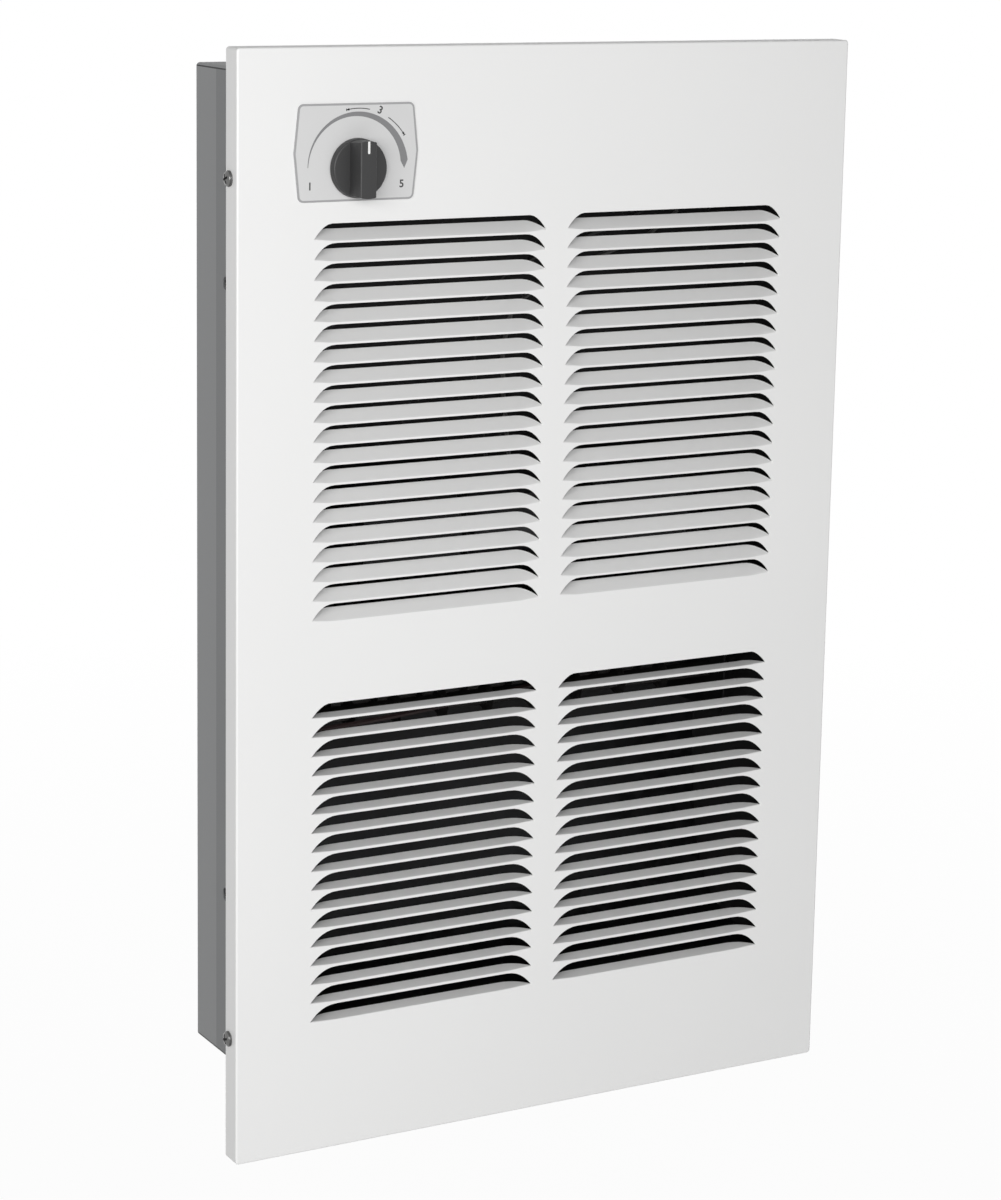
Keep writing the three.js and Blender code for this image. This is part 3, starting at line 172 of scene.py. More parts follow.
looks = {
    "white_enamel": (grainedFinish, {
        "color": (0.86, 0.86, 0.855), "rough": 0.42, "mottle": 9.0, "spread": 0.012,
        "grain": 1400.0, "grainDepth": 0.00006}),
    "grey_enamel": (grainedFinish, {
        "color": (0.275, 0.279, 0.283), "rough": 0.55, "mottle": 14.0, "spread": 0.05,
        "grain": 1200.0, "grainDepth": 0.00006}),
    # a darker grey for the front strip of each side of the can
    "grey_lap": (grainedFinish, {
        "color": (0.212, 0.216, 0.22), "rough": 0.55, "mottle": 14.0, "spread": 0.05,
        "grain": 1200.0, "grainDepth": 0.00006}),
    "grey_seam": (grainedFinish, {
        "color": (0.035, 0.036, 0.037), "rough": 0.7, "mottle": 40.0, "spread": 0.1,
        "grain": 1200.0, "grainDepth": 0.00006}),
    # painted shade: a near-black finish for the can's inner faces, standing in for the shade inside the can
    "can_inside": (grainedFinish, {
        "color": (0.005, 0.005, 0.0052), "rough": 0.8, "mottle": 14.0, "spread": 0.1,
        "grain": 1200.0, "grainDepth": 0.00006}),
    "zinc": (drawnFinish, {
        "color": (0.5, 0.5, 0.485), "metal": 1.0, "rough": 0.28, "mottle": 180.0, "spread": 0.1,
        "lines": (900.0, 900.0, 3000.0)}),
    "screw_steel": (drawnFinish, {
        "color": (0.16, 0.16, 0.158), "metal": 1.0, "rough": 0.24, "mottle": 180.0, "spread": 0.1,
        "lines": (900.0, 900.0, 3000.0)}),
    # painted shade: the zinc sheet inside is darkened to near black, standing in for the shade inside the
    # heater
    "galvanised_sheet": (spangledFinish, {
        "color": (0.02, 0.0204, 0.0212), "metal": 0.85, "rough": 0.5, "spangle": 160.0, "spread": 0.22,
        "grain": 500.0}),
    "dial_grey": (grainedFinish, {
        "color": (0.66, 0.66, 0.66), "rough": 0.5, "mottle": 60.0, "spread": 0.015,
        "grain": 2500.0, "grainDepth": 0.00002}),
    "dial_border": (grainedFinish, {
        "color": (0.36, 0.36, 0.365), "rough": 0.5, "mottle": 60.0, "spread": 0.02,
        "grain": 2500.0, "grainDepth": 0.00002}),
    "dial_ink": (grainedFinish, {
        "color": (0.22, 0.22, 0.225), "rough": 0.55, "mottle": 90.0, "spread": 0.03,
        "grain": 2500.0, "grainDepth": 0.00001}),
    "dial_black": (grainedFinish, {
        "color": (0.035, 0.035, 0.035), "rough": 0.5, "mottle": 90.0, "spread": 0.03,
        "grain": 2500.0, "grainDepth": 0.00001}),
    "knob_charcoal": (grainedFinish, {
        "color": (0.023, 0.023, 0.0235), "rough": 0.46, "mottle": 70.0, "spread": 0.06,
        "grain": 2200.0, "grainDepth": 0.00008}),
    "pointer_white": (grainedFinish, {
        "color": (0.86, 0.86, 0.85), "rough": 0.45, "mottle": 120.0, "spread": 0.01,
        "grain": 2500.0, "grainDepth": 0.00002}),
    "bright_steel": (drawnFinish, {
        "color": (0.62, 0.62, 0.61), "metal": 1.0, "rough": 0.25, "mottle": 90.0, "spread": 0.05,
        "lines": (3000.0, 600.0, 600.0)}),
    "thermostat_black": (grainedFinish, {
        "color": (0.022, 0.022, 0.024), "rough": 0.5, "mottle": 40.0, "spread": 0.08,
        "grain": 1800.0, "grainDepth": 0.00005}),
    "copper": (drawnFinish, {
        "color": (0.55, 0.27, 0.15), "metal": 1.0, "rough": 0.38, "mottle": 60.0, "spread": 0.16,
        "lines": (900.0, 900.0, 200.0)}),
    "motor_black": (grainedFinish, {
        "color": (0.03, 0.03, 0.032), "metal": 0.2, "rough": 0.4, "coat": 0.15, "mottle": 30.0,
        "spread": 0.1, "grain": 1400.0, "grainDepth": 0.00005}),
    "bronze": (grainedFinish, {
        "color": (0.42, 0.27, 0.12), "metal": 1.0, "rough": 0.5, "mottle": 200.0, "spread": 0.15,
        "grain": 3000.0, "grainDepth": 0.00003}),
    "rubber_black": (grainedFinish, {
        "color": (0.02, 0.02, 0.02), "rough": 0.85, "mottle": 50.0, "spread": 0.12,
        "grain": 1500.0, "grainDepth": 0.0001}),
    "element_steel": (drawnFinish, {
        "color": (0.04, 0.038, 0.036), "metal": 0.8, "rough": 0.5, "mottle": 45.0, "spread": 0.3,
        "lines": (400.0, 1800.0, 1800.0)}),
    "limit_brown": (grainedFinish, {
        "color": (0.14, 0.065, 0.035), "rough": 0.48, "mottle": 80.0, "spread": 0.12,
        "grain": 1800.0, "grainDepth": 0.00004}),
    "terminal_cream": (grainedFinish, {
        "color": (0.72, 0.67, 0.53), "rough": 0.5, "mottle": 50.0, "spread": 0.03,
        "grain": 1800.0, "grainDepth": 0.00004}),
    "terminal_brass": (drawnFinish, {
        "color": (0.62, 0.45, 0.19), "metal": 1.0, "rough": 0.32, "mottle": 150.0, "spread": 0.1,
        "lines": (1500.0, 300.0, 1500.0)}),
    "ground_green": (grainedFinish, {
        "color": (0.03, 0.2, 0.08), "metal": 0.5, "rough": 0.35, "mottle": 200.0, "spread": 0.1,
        "grain": 2200.0, "grainDepth": 0.00003}),
    "wire_black": (grainedFinish, {
        "color": (0.02, 0.02, 0.02), "rough": 0.5, "mottle": 60.0, "spread": 0.1,
        "grain": 2000.0, "grainDepth": 0.00003}),
    # painted shade: the red and the white leads are darkened far below their own colours, standing in for
    # the shade inside the heater
    "wire_red": (grainedFinish, {
        "color": (0.009, 0.0015, 0.0015), "rough": 0.6, "mottle": 60.0, "spread": 0.08,
        "grain": 2000.0, "grainDepth": 0.00003}),
    "wire_white": (grainedFinish, {
        "color": (0.08, 0.079, 0.076), "rough": 0.6, "mottle": 60.0, "spread": 0.04,
        "grain": 2000.0, "grainDepth": 0.00003}),
}
finishes = {name: make(name, look) for name, (make, look) in looks.items()}

for part in frame["record"]["subparts"]:
    mesh = frame["nodes"][part["node"]].data
    mesh.materials.clear()
    mesh.materials.append(finishes[part["material_slot"]])
print("finishes made:", len(finishes))


# mesh helpers

touch = 1e-6  # corners this close to one another, or to a plane, count as there


def holdMesh(name, bm):  # an object for a mesh, without a body
    mesh = bpy.data.meshes.new(name)
    bm.to_mesh(mesh)
    bm.free()
    holder = bpy.data.objects.new(name, mesh)
    bpy.context.scene.collection.objects.link(holder)
    return holder


def addPiece(name, bm, finishNames, body, replaced):
    piece = holdMesh(name, bm)
    for finishName in finishNames:
        piece.data.materials.append(finishes[finishName])
    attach(piece, body)
    if replaced:
        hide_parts(*replaced)
    return piece


def settle(piece):  # the modifiers' result becomes the piece's own mesh
    shaped = piece.evaluated_get(bpy.context.evaluated_depsgraph_get())
    mesh = bpy.data.meshes.new_from_object(shaped)
    mesh.name = piece.name
    piece.modifiers.clear()
    piece.data = mesh


def smooth(piece, degrees=32):  # round bends, crisp cuts, flat faces that stay flat
    piece.data.shade_smooth()
    piece.data.set_sharp_from_angle(angle=math.radians(degrees))
    weighted = piece.modifiers.new("flat faces", "WEIGHTED_NORMAL")
    weighted.keep_sharp = True
    settle(piece)


def thicken(piece, sheet, innerOffset=0):  # the offset picks the inner face's finish in the piece's list
    solid = piece.modifiers.new("sheet", "SOLIDIFY")
    solid.material_offset = innerOffset
    solid.thickness = sheet
    solid.offset = -1.0
    solid.use_even_offset = True
    solid.use_quality_normals = True
    settle(piece)


def carve(piece, operation, tool):  # one boolean, worked out at once
    step = piece.modifiers.new("carve", "BOOLEAN")
    step.operation = operation
    step.object = tool
    step.solver = "EXACT"
    settle(piece)
    bpy.data.objects.remove(tool)


def drawLoop(bm, points):
    corners = [bm.verts.new(point) for point in points]
    return [bm.edges.new(pair) for pair in zip(corners, corners[1:] + corners[:1])]


def drawCircle(bm, centre, axis, radius, steps):
    turn = Vector((0, 0, 1)).rotation_difference(Vector(axis)).to_matrix().to_4x4()
    made = bmesh.ops.create_circle(bm, cap_ends=False, radius=radius, segments=steps,
                                   matrix=Matrix.Translation(centre) @ turn)
    return list({edge for vert in made["verts"] for edge in vert.link_edges})


def block(size, middle=(0, 0, 0)):  # a box about a point
    bm = bmesh.new()
    bmesh.ops.create_cube(bm, size=1.0)
    bmesh.ops.scale(bm, vec=size, verts=bm.verts)
    bmesh.ops.translate(bm, vec=middle, verts=bm.verts)
    return bm


def turned(profile, axis, steps):  # a profile spun once round an axis through the origin
    bm = bmesh.new()
    verts = [bm.verts.new((x, y, 0)) for x, y in profile]
    edges = [bm.edges.new(pair) for pair in zip(verts, verts[1:])]
    bmesh.ops.spin(bm, geom=verts + edges, cent=(0, 0, 0), axis=axis, angle=2 * math.pi,
                   steps=steps, use_merge=True)
    bmesh.ops.remove_doubles(bm, verts=bm.verts, dist=touch)
    bmesh.ops.recalc_face_normals(bm, faces=bm.faces)
    return bm


def facesAt(bm, axis, value):  # flat faces that lie in one plane square to an axis
    return [face for face in bm.faces if all(abs(vert.co[axis] - value) < touch for vert in face.verts)]


def edgesAt(bm, axis, value):
    return [edge for edge in bm.edges if all(abs(vert.co[axis] - value) < touch for vert in edge.verts)]


def deepEdges(bm):  # those that run from front to back
    return [edge for edge in bm.edges if abs(edge.verts[0].co.y - edge.verts[1].co.y) > touch]


def soften(bm, geom, width, steps, affect="EDGES"):
    bmesh.ops.bevel(bm, geom=geom, offset=width, segments=steps, profile=0.5, affect=affect, material=-1)


def pull(bm, edges):  # extrudes edges, and gives the new vertices and the new edges between them
    made = bmesh.ops.extrude_edge_only(bm, edges=edges)["geom"]
    verts = [item for item in made if isinstance(item, bmesh.types.BMVert)]
    outer = [item for item in made if isinstance(item, bmesh.types.BMEdge)
             and all(vert in verts for vert in item.verts)]
    return verts, outer


def punch(bm, faces, holes, normal):  # replaces flat faces by the same area with holes through it
    rim = [edge for face in faces for edge in face.edges]
    rim = [edge for edge in set(rim) if sum(face in faces for face in edge.link_faces) == 1]
    bmesh.ops.delete(bm, geom=faces, context="FACES_ONLY")
    bmesh.ops.triangle_fill(bm, use_beauty=True, use_dissolve=False, edges=rim + holes, normal=normal)


# a box of sheet with round corners, folded along its shut side and without its open side
def roundedBox(low, high, sheetBox, shutY, openY):
    low, high = Vector(low), Vector(high)
    bm = block(high - low, (low + high) / 2)
    soften(bm, deepEdges(bm), sheetBox["corner"], sheetBox["cornerSteps"])
    soften(bm, edgesAt(bm, 1, shutY), sheetBox["fold"], sheetBox["foldSteps"])
    bmesh.ops.delete(bm, geom=facesAt(bm, 1, openY), context="FACES_ONLY")
    return bm


def faceOut(bm, axis, value, sign):  # turns the whole sheet so that the faces in one plane look outwards
    bmesh.ops.recalc_face_normals(bm, faces=bm.faces)
    bm.normal_update()
    sample = max(facesAt(bm, axis, value), key=lambda face: face.calc_area())
    if sample.normal[axis] * sign < 0:
        bmesh.ops.reverse_faces(bm, faces=bm.faces)


# the knob's values, because the panel's hole and the dial's print share its place

knobLow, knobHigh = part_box("thermostat_knob")
knob = {
    "x": (knobLow.x + knobHigh.x) / 2, "z": (knobLow.z + knobHigh.z) / 2,
    "back": knobHigh.y, "front": knobLow.y, "radius": (knobHigh.x - knobLow.x) / 2,
    "skirt": 0.005, "edge": 0.0009, "edgeSteps": 4, "chamfer": 0.0005, "taper": 0.0002, "steps": 72,
    "crestDrop": 0.00006, "gripFoot": 0.0146, "gripCrest": 0.010, "gripEdge": 0.0007, "gripSteps": 4,
    "gripSink": 0.002, "gripSpare": 0.004, "barrelFoot": 0.0004, "barrelCrest": 0.0009, "barrelDepth": 0.04,
    "softEdge": 0.00035, "softSteps": 2, "softAngle": 35,
    "pointerLength": 0.0071, "pointerWidth": 0.0014, "pointerEnd": 0.0009, "pointerLift": 0.00004,
    "pointerCorner": 0.0004, "pointerSteps": 3,
}


# front panel

panelLow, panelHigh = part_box("front_grille")
panel = {
    "halfWidth": panelHigh.x, "top": panelHigh.z, "bottom": panelLow.z,
    "front": panelLow.y, "back": panelHigh.y, "sheet": 0.0008,
    "corner": 0.002, "cornerSteps": 3, "fold": 0.0012, "foldSteps": 4,
    "shaftHole": 0.0058, "holeSteps": 32,
}
louvres = {
    "pitch": 0.01183, "strip": 0.0009, "halfLength": 0.077, "kerf": 0.00012, "middles": (-0.0828, 0.0852),
    "bend": 0.00084, "bendSteps": 5, "flatSteps": 2, "endPower": 2.4,
    "endShares": (1, 0.95, 0.88, 0.79, 0.68, 0.55, 0.4, 0.22, 0),
}
upperBank = {
    "rows": 20, "angle": 54.0, "tip": 0.0010, "endRun": 0.015, "firstDrop": 0.0005, "fromTop": 0.1003,
}
lowerBank = {
    "rows": 17, "angle": 86.0, "tip": 0.0007, "endRun": 0.019, "firstDrop": 0.0015, "fromBottom": 0.08082,
}
fullCut = louvres["pitch"] - louvres["strip"]
upperBank["top"] = panel["top"] - upperBank["fromTop"]
lowerFoot = panel["bottom"] + lowerBank["fromBottom"]
lowerBank["top"] = lowerFoot + lowerBank["rows"] * louvres["pitch"] - louvres["strip"]


# heights of a louvre's bend line and of its cut edge, at a distance from its middle
def louvreHeights(across, bank, cutHeight):
    share = max(0.0, (abs(across) - louvres["halfLength"]) / bank["endRun"] + 1)
    rise = bank["tip"] * share * share * (3 - 2 * share)
    cut = bank["tip"] + (fullCut - bank["tip"]) * (1 - share ** louvres["endPower"])
    return rise, min(cut, max(cutHeight, rise))


def louvreLoop(bm, middle, bendZ, bank, cutHeight):  # its outline, and the bend line in it
    inner = louvres["halfLength"] - bank["endRun"]
    right = [inner + share * bank["endRun"] for share in louvres["endShares"]]
    columns = [-across for across in right] + right[::-1]
    low, high = [], []
    for across in columns:
        rise, cut = louvreHeights(across, bank, cutHeight)
        low.append((middle + across, panel["front"], bendZ + rise))
        high.append((middle + across, panel["front"], bendZ + cut + louvres["kerf"]))
    loop = drawLoop(bm, low + high[-2:0:-1])
    return loop, loop[:len(low) - 1]


# depth and height of a bent louvre's face at a distance along the sheet
def bentTo(along, angle):
    bend = louvres["bend"]
    neutral = bend - panel["sheet"] / 2
    turn = min(along / neutral, angle)
    straight = max(along - neutral * angle, 0.0)
    return Vector((0, bend * (1 - math.cos(turn)) + straight * math.sin(turn),
                   bend * math.sin(turn) + straight * math.cos(turn)))


def raiseLouvre(bm, root, middle, bendZ, bank, cutHeight):
    angle = math.radians(bank["angle"])
    bendLength = (louvres["bend"] - panel["sheet"] / 2) * angle
    bendSteps, flatSteps = louvres["bendSteps"], louvres["flatSteps"]
    edges = root
    for step in range(1, bendSteps + flatSteps + 1):
        verts, edges = pull(bm, edges)
        for vert in verts:
            rise, cut = louvreHeights(vert.co.x - middle, bank, cutHeight)
            bent = min(bendLength, cut - rise)
            along = bent * min(step / bendSteps, 1.0)
            along += (cut - rise - bent) * max(step - bendSteps, 0) / flatSteps
            vert.co = Vector((vert.co.x, panel["front"], bendZ + rise)) + bentTo(along, angle)


def louvrePlaces():  # each louvre's middle, bend line, bank and cut height
    for bank in (upperBank, lowerBank):
        for row in range(bank["rows"]):
            bendZ = bank["top"] - fullCut - row * louvres["pitch"]
            cutHeight = fullCut - (0 if row else bank["firstDrop"])
            for middle in louvres["middles"]:
                yield middle, bendZ, bank, cutHeight


def makePanel():
    half, front, back = panel["halfWidth"], panel["front"], panel["back"]
    low, high = (-half, front, panel["bottom"]), (half, back, panel["top"])
    bm = roundedBox(low, high, panel, front, back)
    holes, roots = [], []
    for place in louvrePlaces():
        loop, root = louvreLoop(bm, *place)
        holes += loop
        roots.append(root)
    shaftAt = (knob["x"], front, knob["z"])
    holes += drawCircle(bm, shaftAt, (0, 1, 0), panel["shaftHole"], panel["holeSteps"])
    punch(bm, facesAt(bm, 1, front), holes, (0, -1, 0))
    for root, place in zip(roots, louvrePlaces()):
        raiseLouvre(bm, root, *place)
    bmesh.ops.remove_doubles(bm, verts=bm.verts, dist=touch)
    faceOut(bm, 1, front, -1)
    piece = addPiece("louvredPanel", bm, ["white_enamel"], "housing", ["front_grille"])
    thicken(piece, panel["sheet"])
    smooth(piece)


makePanel()
print("front panel made")


# recess can

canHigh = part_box("wall_can")[1]
can = {
    "halfWidth": 0.183, "halfHeight": canHigh.z, "depth": canHigh.y, "sheet": 0.001,
    "corner": 0.0022, "cornerSteps": 4, "fold": 0.0016, "foldSteps": 4, "darkBandDepth": 0.07, "sideSlack": 0.0003,
    "flangeEdge": canHigh.x, "flangeHole": 0.0026, "flangeHoleZ": (-0.2, 0.0, 0.2), "flangeSteps": 20,
    "nailHole": 0.00415, "nailDepth": 0.056, "nailZ": {-1: (0.178, -0.1995), 1: (0.178,)}, "nailSteps": 24,
    "knockout": 0.0111, "knockoutSlot": 0.0008, "knockoutBridge": 0.0015, "knockoutX": (-0.11, 0.11),
    "knockoutSteps": 16, "screwHole": 0.00205, "screwSteps": 16,
}
deckScrews = [(low + high) / 2 for low, high in (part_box(f"deck_screw_{n}") for n in (1, 2, 3, 4))]
groundScrew = sum(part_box("ground_screw"), Vector()) / 2


def arcSlot(bm, centre, outer, inner, start, end, steps):
    angles = [start + (end - start) * step / steps for step in range(steps + 1)]
    rim = [(outer, angle) for angle in angles] + [(inner, angle) for angle in reversed(angles)]
    points = [(centre[0] + r * math.cos(a), centre[1] + r * math.sin(a), centre[2]) for r, a in rim]
    return drawLoop(bm, points)


def beforeDarkBandEdge(faces):
    return [face for face in faces if face.calc_center_median().y < can["darkBandDepth"]]


def punchNailHoles(bm):
    for side in (-1, 1):
        x = side * can["halfWidth"]
        holes = []
        for z in can["nailZ"][side]:
            holes += drawCircle(bm, (x, can["nailDepth"], z), (1, 0, 0), can["nailHole"], can["nailSteps"])
        punch(bm, beforeDarkBandEdge(facesAt(bm, 0, x)), holes, (side, 0, 0))


def punchKnockouts(bm):  # two slots round each blank, with a bridge between them on both sides
    high, outer = can["halfHeight"], can["knockout"]
    inner = outer - can["knockoutSlot"]
    gap = can["knockoutBridge"] / outer
    slots = []
    for x in can["knockoutX"]:
        for start in (gap, math.pi + gap):
            end = start + math.pi - 2 * gap
            slots += arcSlot(bm, (x, can["depth"] / 2, high), outer, inner, start, end, can["knockoutSteps"])
    punch(bm, beforeDarkBandEdge(facesAt(bm, 2, high)), slots, (0, 0, 1))


def punchScrewHoles(bm):
    depth = can["depth"]
    holes = []
    for place in deckScrews + [groundScrew]:
        centre = (place.x, depth, place.z)
        holes += drawCircle(bm, centre, (0, 1, 0), can["screwHole"], can["screwSteps"])
    punch(bm, facesAt(bm, 1, depth), holes, (0, 1, 0))


def paintSides(bm):  # the front strip of each side is a darker grey, and its corners are darker still
    for face in bm.faces:
        middle = face.calc_center_median()
        onSide = abs(middle.x) > can["halfWidth"] - can["sideSlack"]
        if onSide and abs(middle.z) > can["halfHeight"] - can["corner"]:
            face.material_index = 2
        elif onSide and middle.y < can["darkBandDepth"]:
            face.material_index = 1


def foldFlange(bm, side):
    half, edge = can["halfWidth"], can["flangeEdge"]
    rim = [e for e in edgesAt(bm, 1, 0) if all(abs(v.co.x - side * half) < touch for v in e.verts)]
    verts = pull(bm, rim)[0]
    bmesh.ops.translate(bm, vec=(side * (edge - half), 0, 0), verts=verts)
    flange = [face for face in facesAt(bm, 1, 0) if face.calc_center_median().x * side > half]
    x = side * (half + edge) / 2
    holes = []
    for z in can["flangeHoleZ"]:
        holes += drawCircle(bm, (x, 0, z), (0, 1, 0), can["flangeHole"], can["flangeSteps"])
    punch(bm, flange, holes, (0, 1, 0))


def makeCan():
    half, high, depth = can["halfWidth"], can["halfHeight"], can["depth"]
    bm = roundedBox((-half, 0, -high), (half, depth, high), can, depth, 0)
    bmesh.ops.bisect_plane(bm, geom=bm.verts[:] + bm.edges[:] + bm.faces[:],
                           plane_co=(0, can["darkBandDepth"], 0), plane_no=(0, 1, 0))
    punchNailHoles(bm)
    punchKnockouts(bm)
    punchScrewHoles(bm)
    paintSides(bm)
    for side in (-1, 1):
        foldFlange(bm, side)
    faceOut(bm, 2, -high, -1)
    outside = ["grey_enamel", "grey_lap", "grey_seam"]
    # the inner faces take the near-black painted shade
    inside = ["can_inside"] * len(outside)
    piece = addPiece("recessCan", bm, outside + inside, "housing", ["wall_can"])
    thicken(piece, can["sheet"], len(outside))
    smooth(piece)


makeCan()
print("recess can made")


# dial plate and its print

dialLow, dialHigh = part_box("dial_plate")
dial = {
    "x": (dialLow.x + dialHigh.x) / 2, "z": (dialLow.z + dialHigh.z) / 2,
    "back": dialHigh.y, "front": dialLow.y, "halfHeight": (dialHigh.z - dialLow.z) / 2,
    "halfWaist": (dialHigh.x - dialLow.x) / 2, "halfTop": 0.0368,
    "corner": 0.003, "cornerSteps": 5, "border": 0.001, "edge": 0.00015, "edgeSteps": 2,
}
dialPrint = {
    "lift": 0.00003,
    "bandMiddle": 0.0309, "bandStart": 178.5, "bandEnd": 6.7, "bandThin": 0.0004, "bandThick": 0.0046,
    "bandTip": (0.0308, -0.001), "bandSteps": 72,
    "reachCentre": (0.0009, -0.0018), "reachRadius": 0.03587, "reachWidth": 0.0005,
    "reachArcs": ((101.7, 78.0), (57.5, 34.2)), "reachSteps": 16,
    "barbLength": 0.0016, "barbWidth": 0.0015, "barbSteps": 3,
    "numberSize": 0.0062, "numberWeight": 0.00013, "numberSteps": 4,
    "numbers": (("1", -0.0296, -0.01, 0), ("3", 0.0149, 0.0326, -24), ("5", 0.0292, -0.0101, 0)),
}
printY = dial["front"] - dialPrint["lift"]


def makeDialPlate():
    x, z, front, back = dial["x"], dial["z"], dial["front"], dial["back"]
    high, top, waist = dial["halfHeight"], dial["halfTop"], dial["halfWaist"]
    outline = ((-top, high), (-waist, 0), (-top, -high), (top, -high), (waist, 0), (top, high))
    bm = bmesh.new()
    bm.faces.new([bm.verts.new((x + dx, back, z + dz)) for dx, dz in outline])
    corners = [vert for vert in bm.verts if abs(abs(vert.co.z - z) - high) < touch]
    soften(bm, corners, dial["corner"], dial["cornerSteps"], "VERTICES")
    made = bmesh.ops.extrude_face_region(bm, geom=bm.faces[:])["geom"]
    raised = [item for item in made if isinstance(item, bmesh.types.BMVert)]
    bmesh.ops.translate(bm, vec=(0, front - back, 0), verts=raised)
    bmesh.ops.recalc_face_normals(bm, faces=bm.faces)
    soften(bm, edgesAt(bm, 1, front), dial["edge"], dial["edgeSteps"])
    for face in bm.faces:
        face.material_index = 1
    bmesh.ops.inset_region(bm, faces=facesAt(bm, 1, front), thickness=dial["border"], depth=0,
                           use_even_offset=True)
    middle = max(facesAt(bm, 1, front), key=lambda face: face.calc_area())
    middle.material_index = 0
    piece = addPiece("dialPlate", bm, ["dial_grey", "dial_border"], "housing", ["dial_plate"])
    smooth(piece)


# a flat arc about a centre, which widens along its sweep
def sweepArc(bm, centre, radius, widths, angles, steps):
    start, end = angles
    spoke = Vector((math.cos(math.radians(start)), 0, math.sin(math.radians(start))))
    ends = [bm.verts.new(centre + spoke * (radius + side * widths[0] / 2)) for side in (-1, 1)]
    edge = bm.edges.new(ends)
    turn = Matrix.Rotation(math.radians((start - end) / steps), 3, "Y")
    for step in range(1, steps + 1):
        ends, outer = pull(bm, [edge])
        edge = outer[0]
        bmesh.ops.rotate(bm, cent=centre, matrix=turn, verts=ends)
        width = widths[0] + (widths[1] - widths[0]) * step / steps
        for vert in ends:
            arm = vert.co - centre
            side = 1 if arm.length > radius else -1
            vert.co = centre + arm.normalized() * (radius + side * width / 2)
    return edge


def makeBand():  # the ring that widens towards its pointed end
    bm = bmesh.new()
    centre = Vector((knob["x"], printY, knob["z"]))
    widths = (dialPrint["bandThin"], dialPrint["bandThick"])
    angles = (dialPrint["bandStart"], dialPrint["bandEnd"])
    edge = sweepArc(bm, centre, dialPrint["bandMiddle"], widths, angles, dialPrint["bandSteps"])
    tip = pull(bm, [edge])[0]
    dx, dz = dialPrint["bandTip"]
    bmesh.ops.pointmerge(bm, verts=tip, merge_co=centre + Vector((dx, 0, dz)))
    faceOut(bm, 1, printY, -1)
    addPiece("dialBand", bm, ["dial_ink"], "housing", [])


# two thin arcs, each closed at its outer end by a barb and a bar
def makeReach():
    bm = bmesh.new()
    dx, dz = dialPrint["reachCentre"]
    centre = Vector((knob["x"] + dx, printY, knob["z"] + dz))
    radius, length, wide = dialPrint["reachRadius"], dialPrint["barbLength"], dialPrint["barbWidth"]
    thin = dialPrint["reachWidth"]
    for angles, outward in zip(dialPrint["reachArcs"], (1, -1)):
        sweepArc(bm, centre, radius, (thin, thin), angles, dialPrint["reachSteps"])
        tip = max(angles) if outward > 0 else min(angles)
        barb = outward * math.degrees(length / radius)
        bar = outward * math.degrees(thin / radius)
        sweepArc(bm, centre, radius, (wide, thin), (tip - barb, tip), dialPrint["barbSteps"])
        sweepArc(bm, centre, radius, (wide, wide), (tip, tip + bar), 1)
    bmesh.ops.recalc_face_normals(bm, faces=bm.faces)
    for face in bm.faces:
        if face.normal.y > 0:
            face.normal_flip()
    addPiece("dialReach", bm, ["dial_black"], "housing", [])


def makeNumbers():
    bm = bmesh.new()
    for text, dx, dz, lean in dialPrint["numbers"]:
        curve = bpy.data.curves.new("number", "FONT")
        curve.body = text
        curve.size = dialPrint["numberSize"]
        curve.offset = dialPrint["numberWeight"]
        curve.align_x, curve.align_y = "CENTER", "CENTER"
        curve.resolution_u = dialPrint["numberSteps"]
        holder = bpy.data.objects.new("number", curve)
        bpy.context.scene.collection.objects.link(holder)
        bpy.context.view_layer.update()
        shaped = holder.evaluated_get(bpy.context.evaluated_depsgraph_get())
        mesh = bpy.data.meshes.new_from_object(shaped)
        at = Matrix.Translation((knob["x"] + dx, printY, knob["z"] + dz))
        upright = Matrix.Rotation(math.radians(90), 4, "X") @ Matrix.Rotation(math.radians(lean), 4, "Z")
        mesh.transform(at @ upright)
        bm.from_mesh(mesh)
        bpy.data.objects.remove(holder)
    addPiece("dialNumbers", bm, ["dial_black"], "housing", [])


makeDialPlate()
makeBand()
makeReach()
makeNumbers()
print("dial made")


# thermostat knob

def makeSkirt():
    edge, chamfer = knob["edge"], knob["chamfer"]
    radius, back = knob["radius"], knob["back"]
    front, rim = back - knob["skirt"], radius - knob["taper"]
    profile = [(0, back), (radius - chamfer, back), (radius, back - chamfer), (rim, front + edge)]
    for step in range(1, knob["edgeSteps"] + 1):
        angle = math.radians(90 * step / knob["edgeSteps"])
        profile.append((rim - edge * (1 - math.cos(angle)), front + edge * (1 - math.sin(angle))))
    return turned(profile + [(0, front)], (0, 1, 0), knob["steps"])


def makeGrip():
    radius, front = knob["radius"], knob["back"] - knob["skirt"]
    foot, crest = front + knob["gripSink"], knob["front"] + knob["crestDrop"]
    size = (knob["gripFoot"], foot - crest, 2 * radius + knob["gripSpare"])
    bm = block(size, (0, (foot + crest) / 2, 0))
    raised = [vert for vert in bm.verts if vert.co.y < front]
    bmesh.ops.scale(bm, vec=(knob["gripCrest"] / knob["gripFoot"], 1, 1), verts=raised)
    long = [edge for edge in bm.edges if all(vert in raised for vert in edge.verts)
            and abs(edge.verts[0].co.z - edge.verts[1].co.z) > radius]
    soften(bm, long, knob["gripEdge"], knob["gripSteps"])
    bmesh.ops.recalc_face_normals(bm, faces=bm.faces)
    return bm


def makeBarrel():  # what the grip's round ends are cut with
    radius = knob["radius"]
    upright = Matrix.Translation((0, knob["back"], 0)) @ Matrix.Rotation(math.radians(90), 4, "X")
    bm = bmesh.new()
    bmesh.ops.create_cone(bm, cap_ends=True, segments=knob["steps"], radius1=radius - knob["barrelFoot"],
                          radius2=radius - knob["barrelCrest"], depth=knob["barrelDepth"], matrix=upright)
    return bm


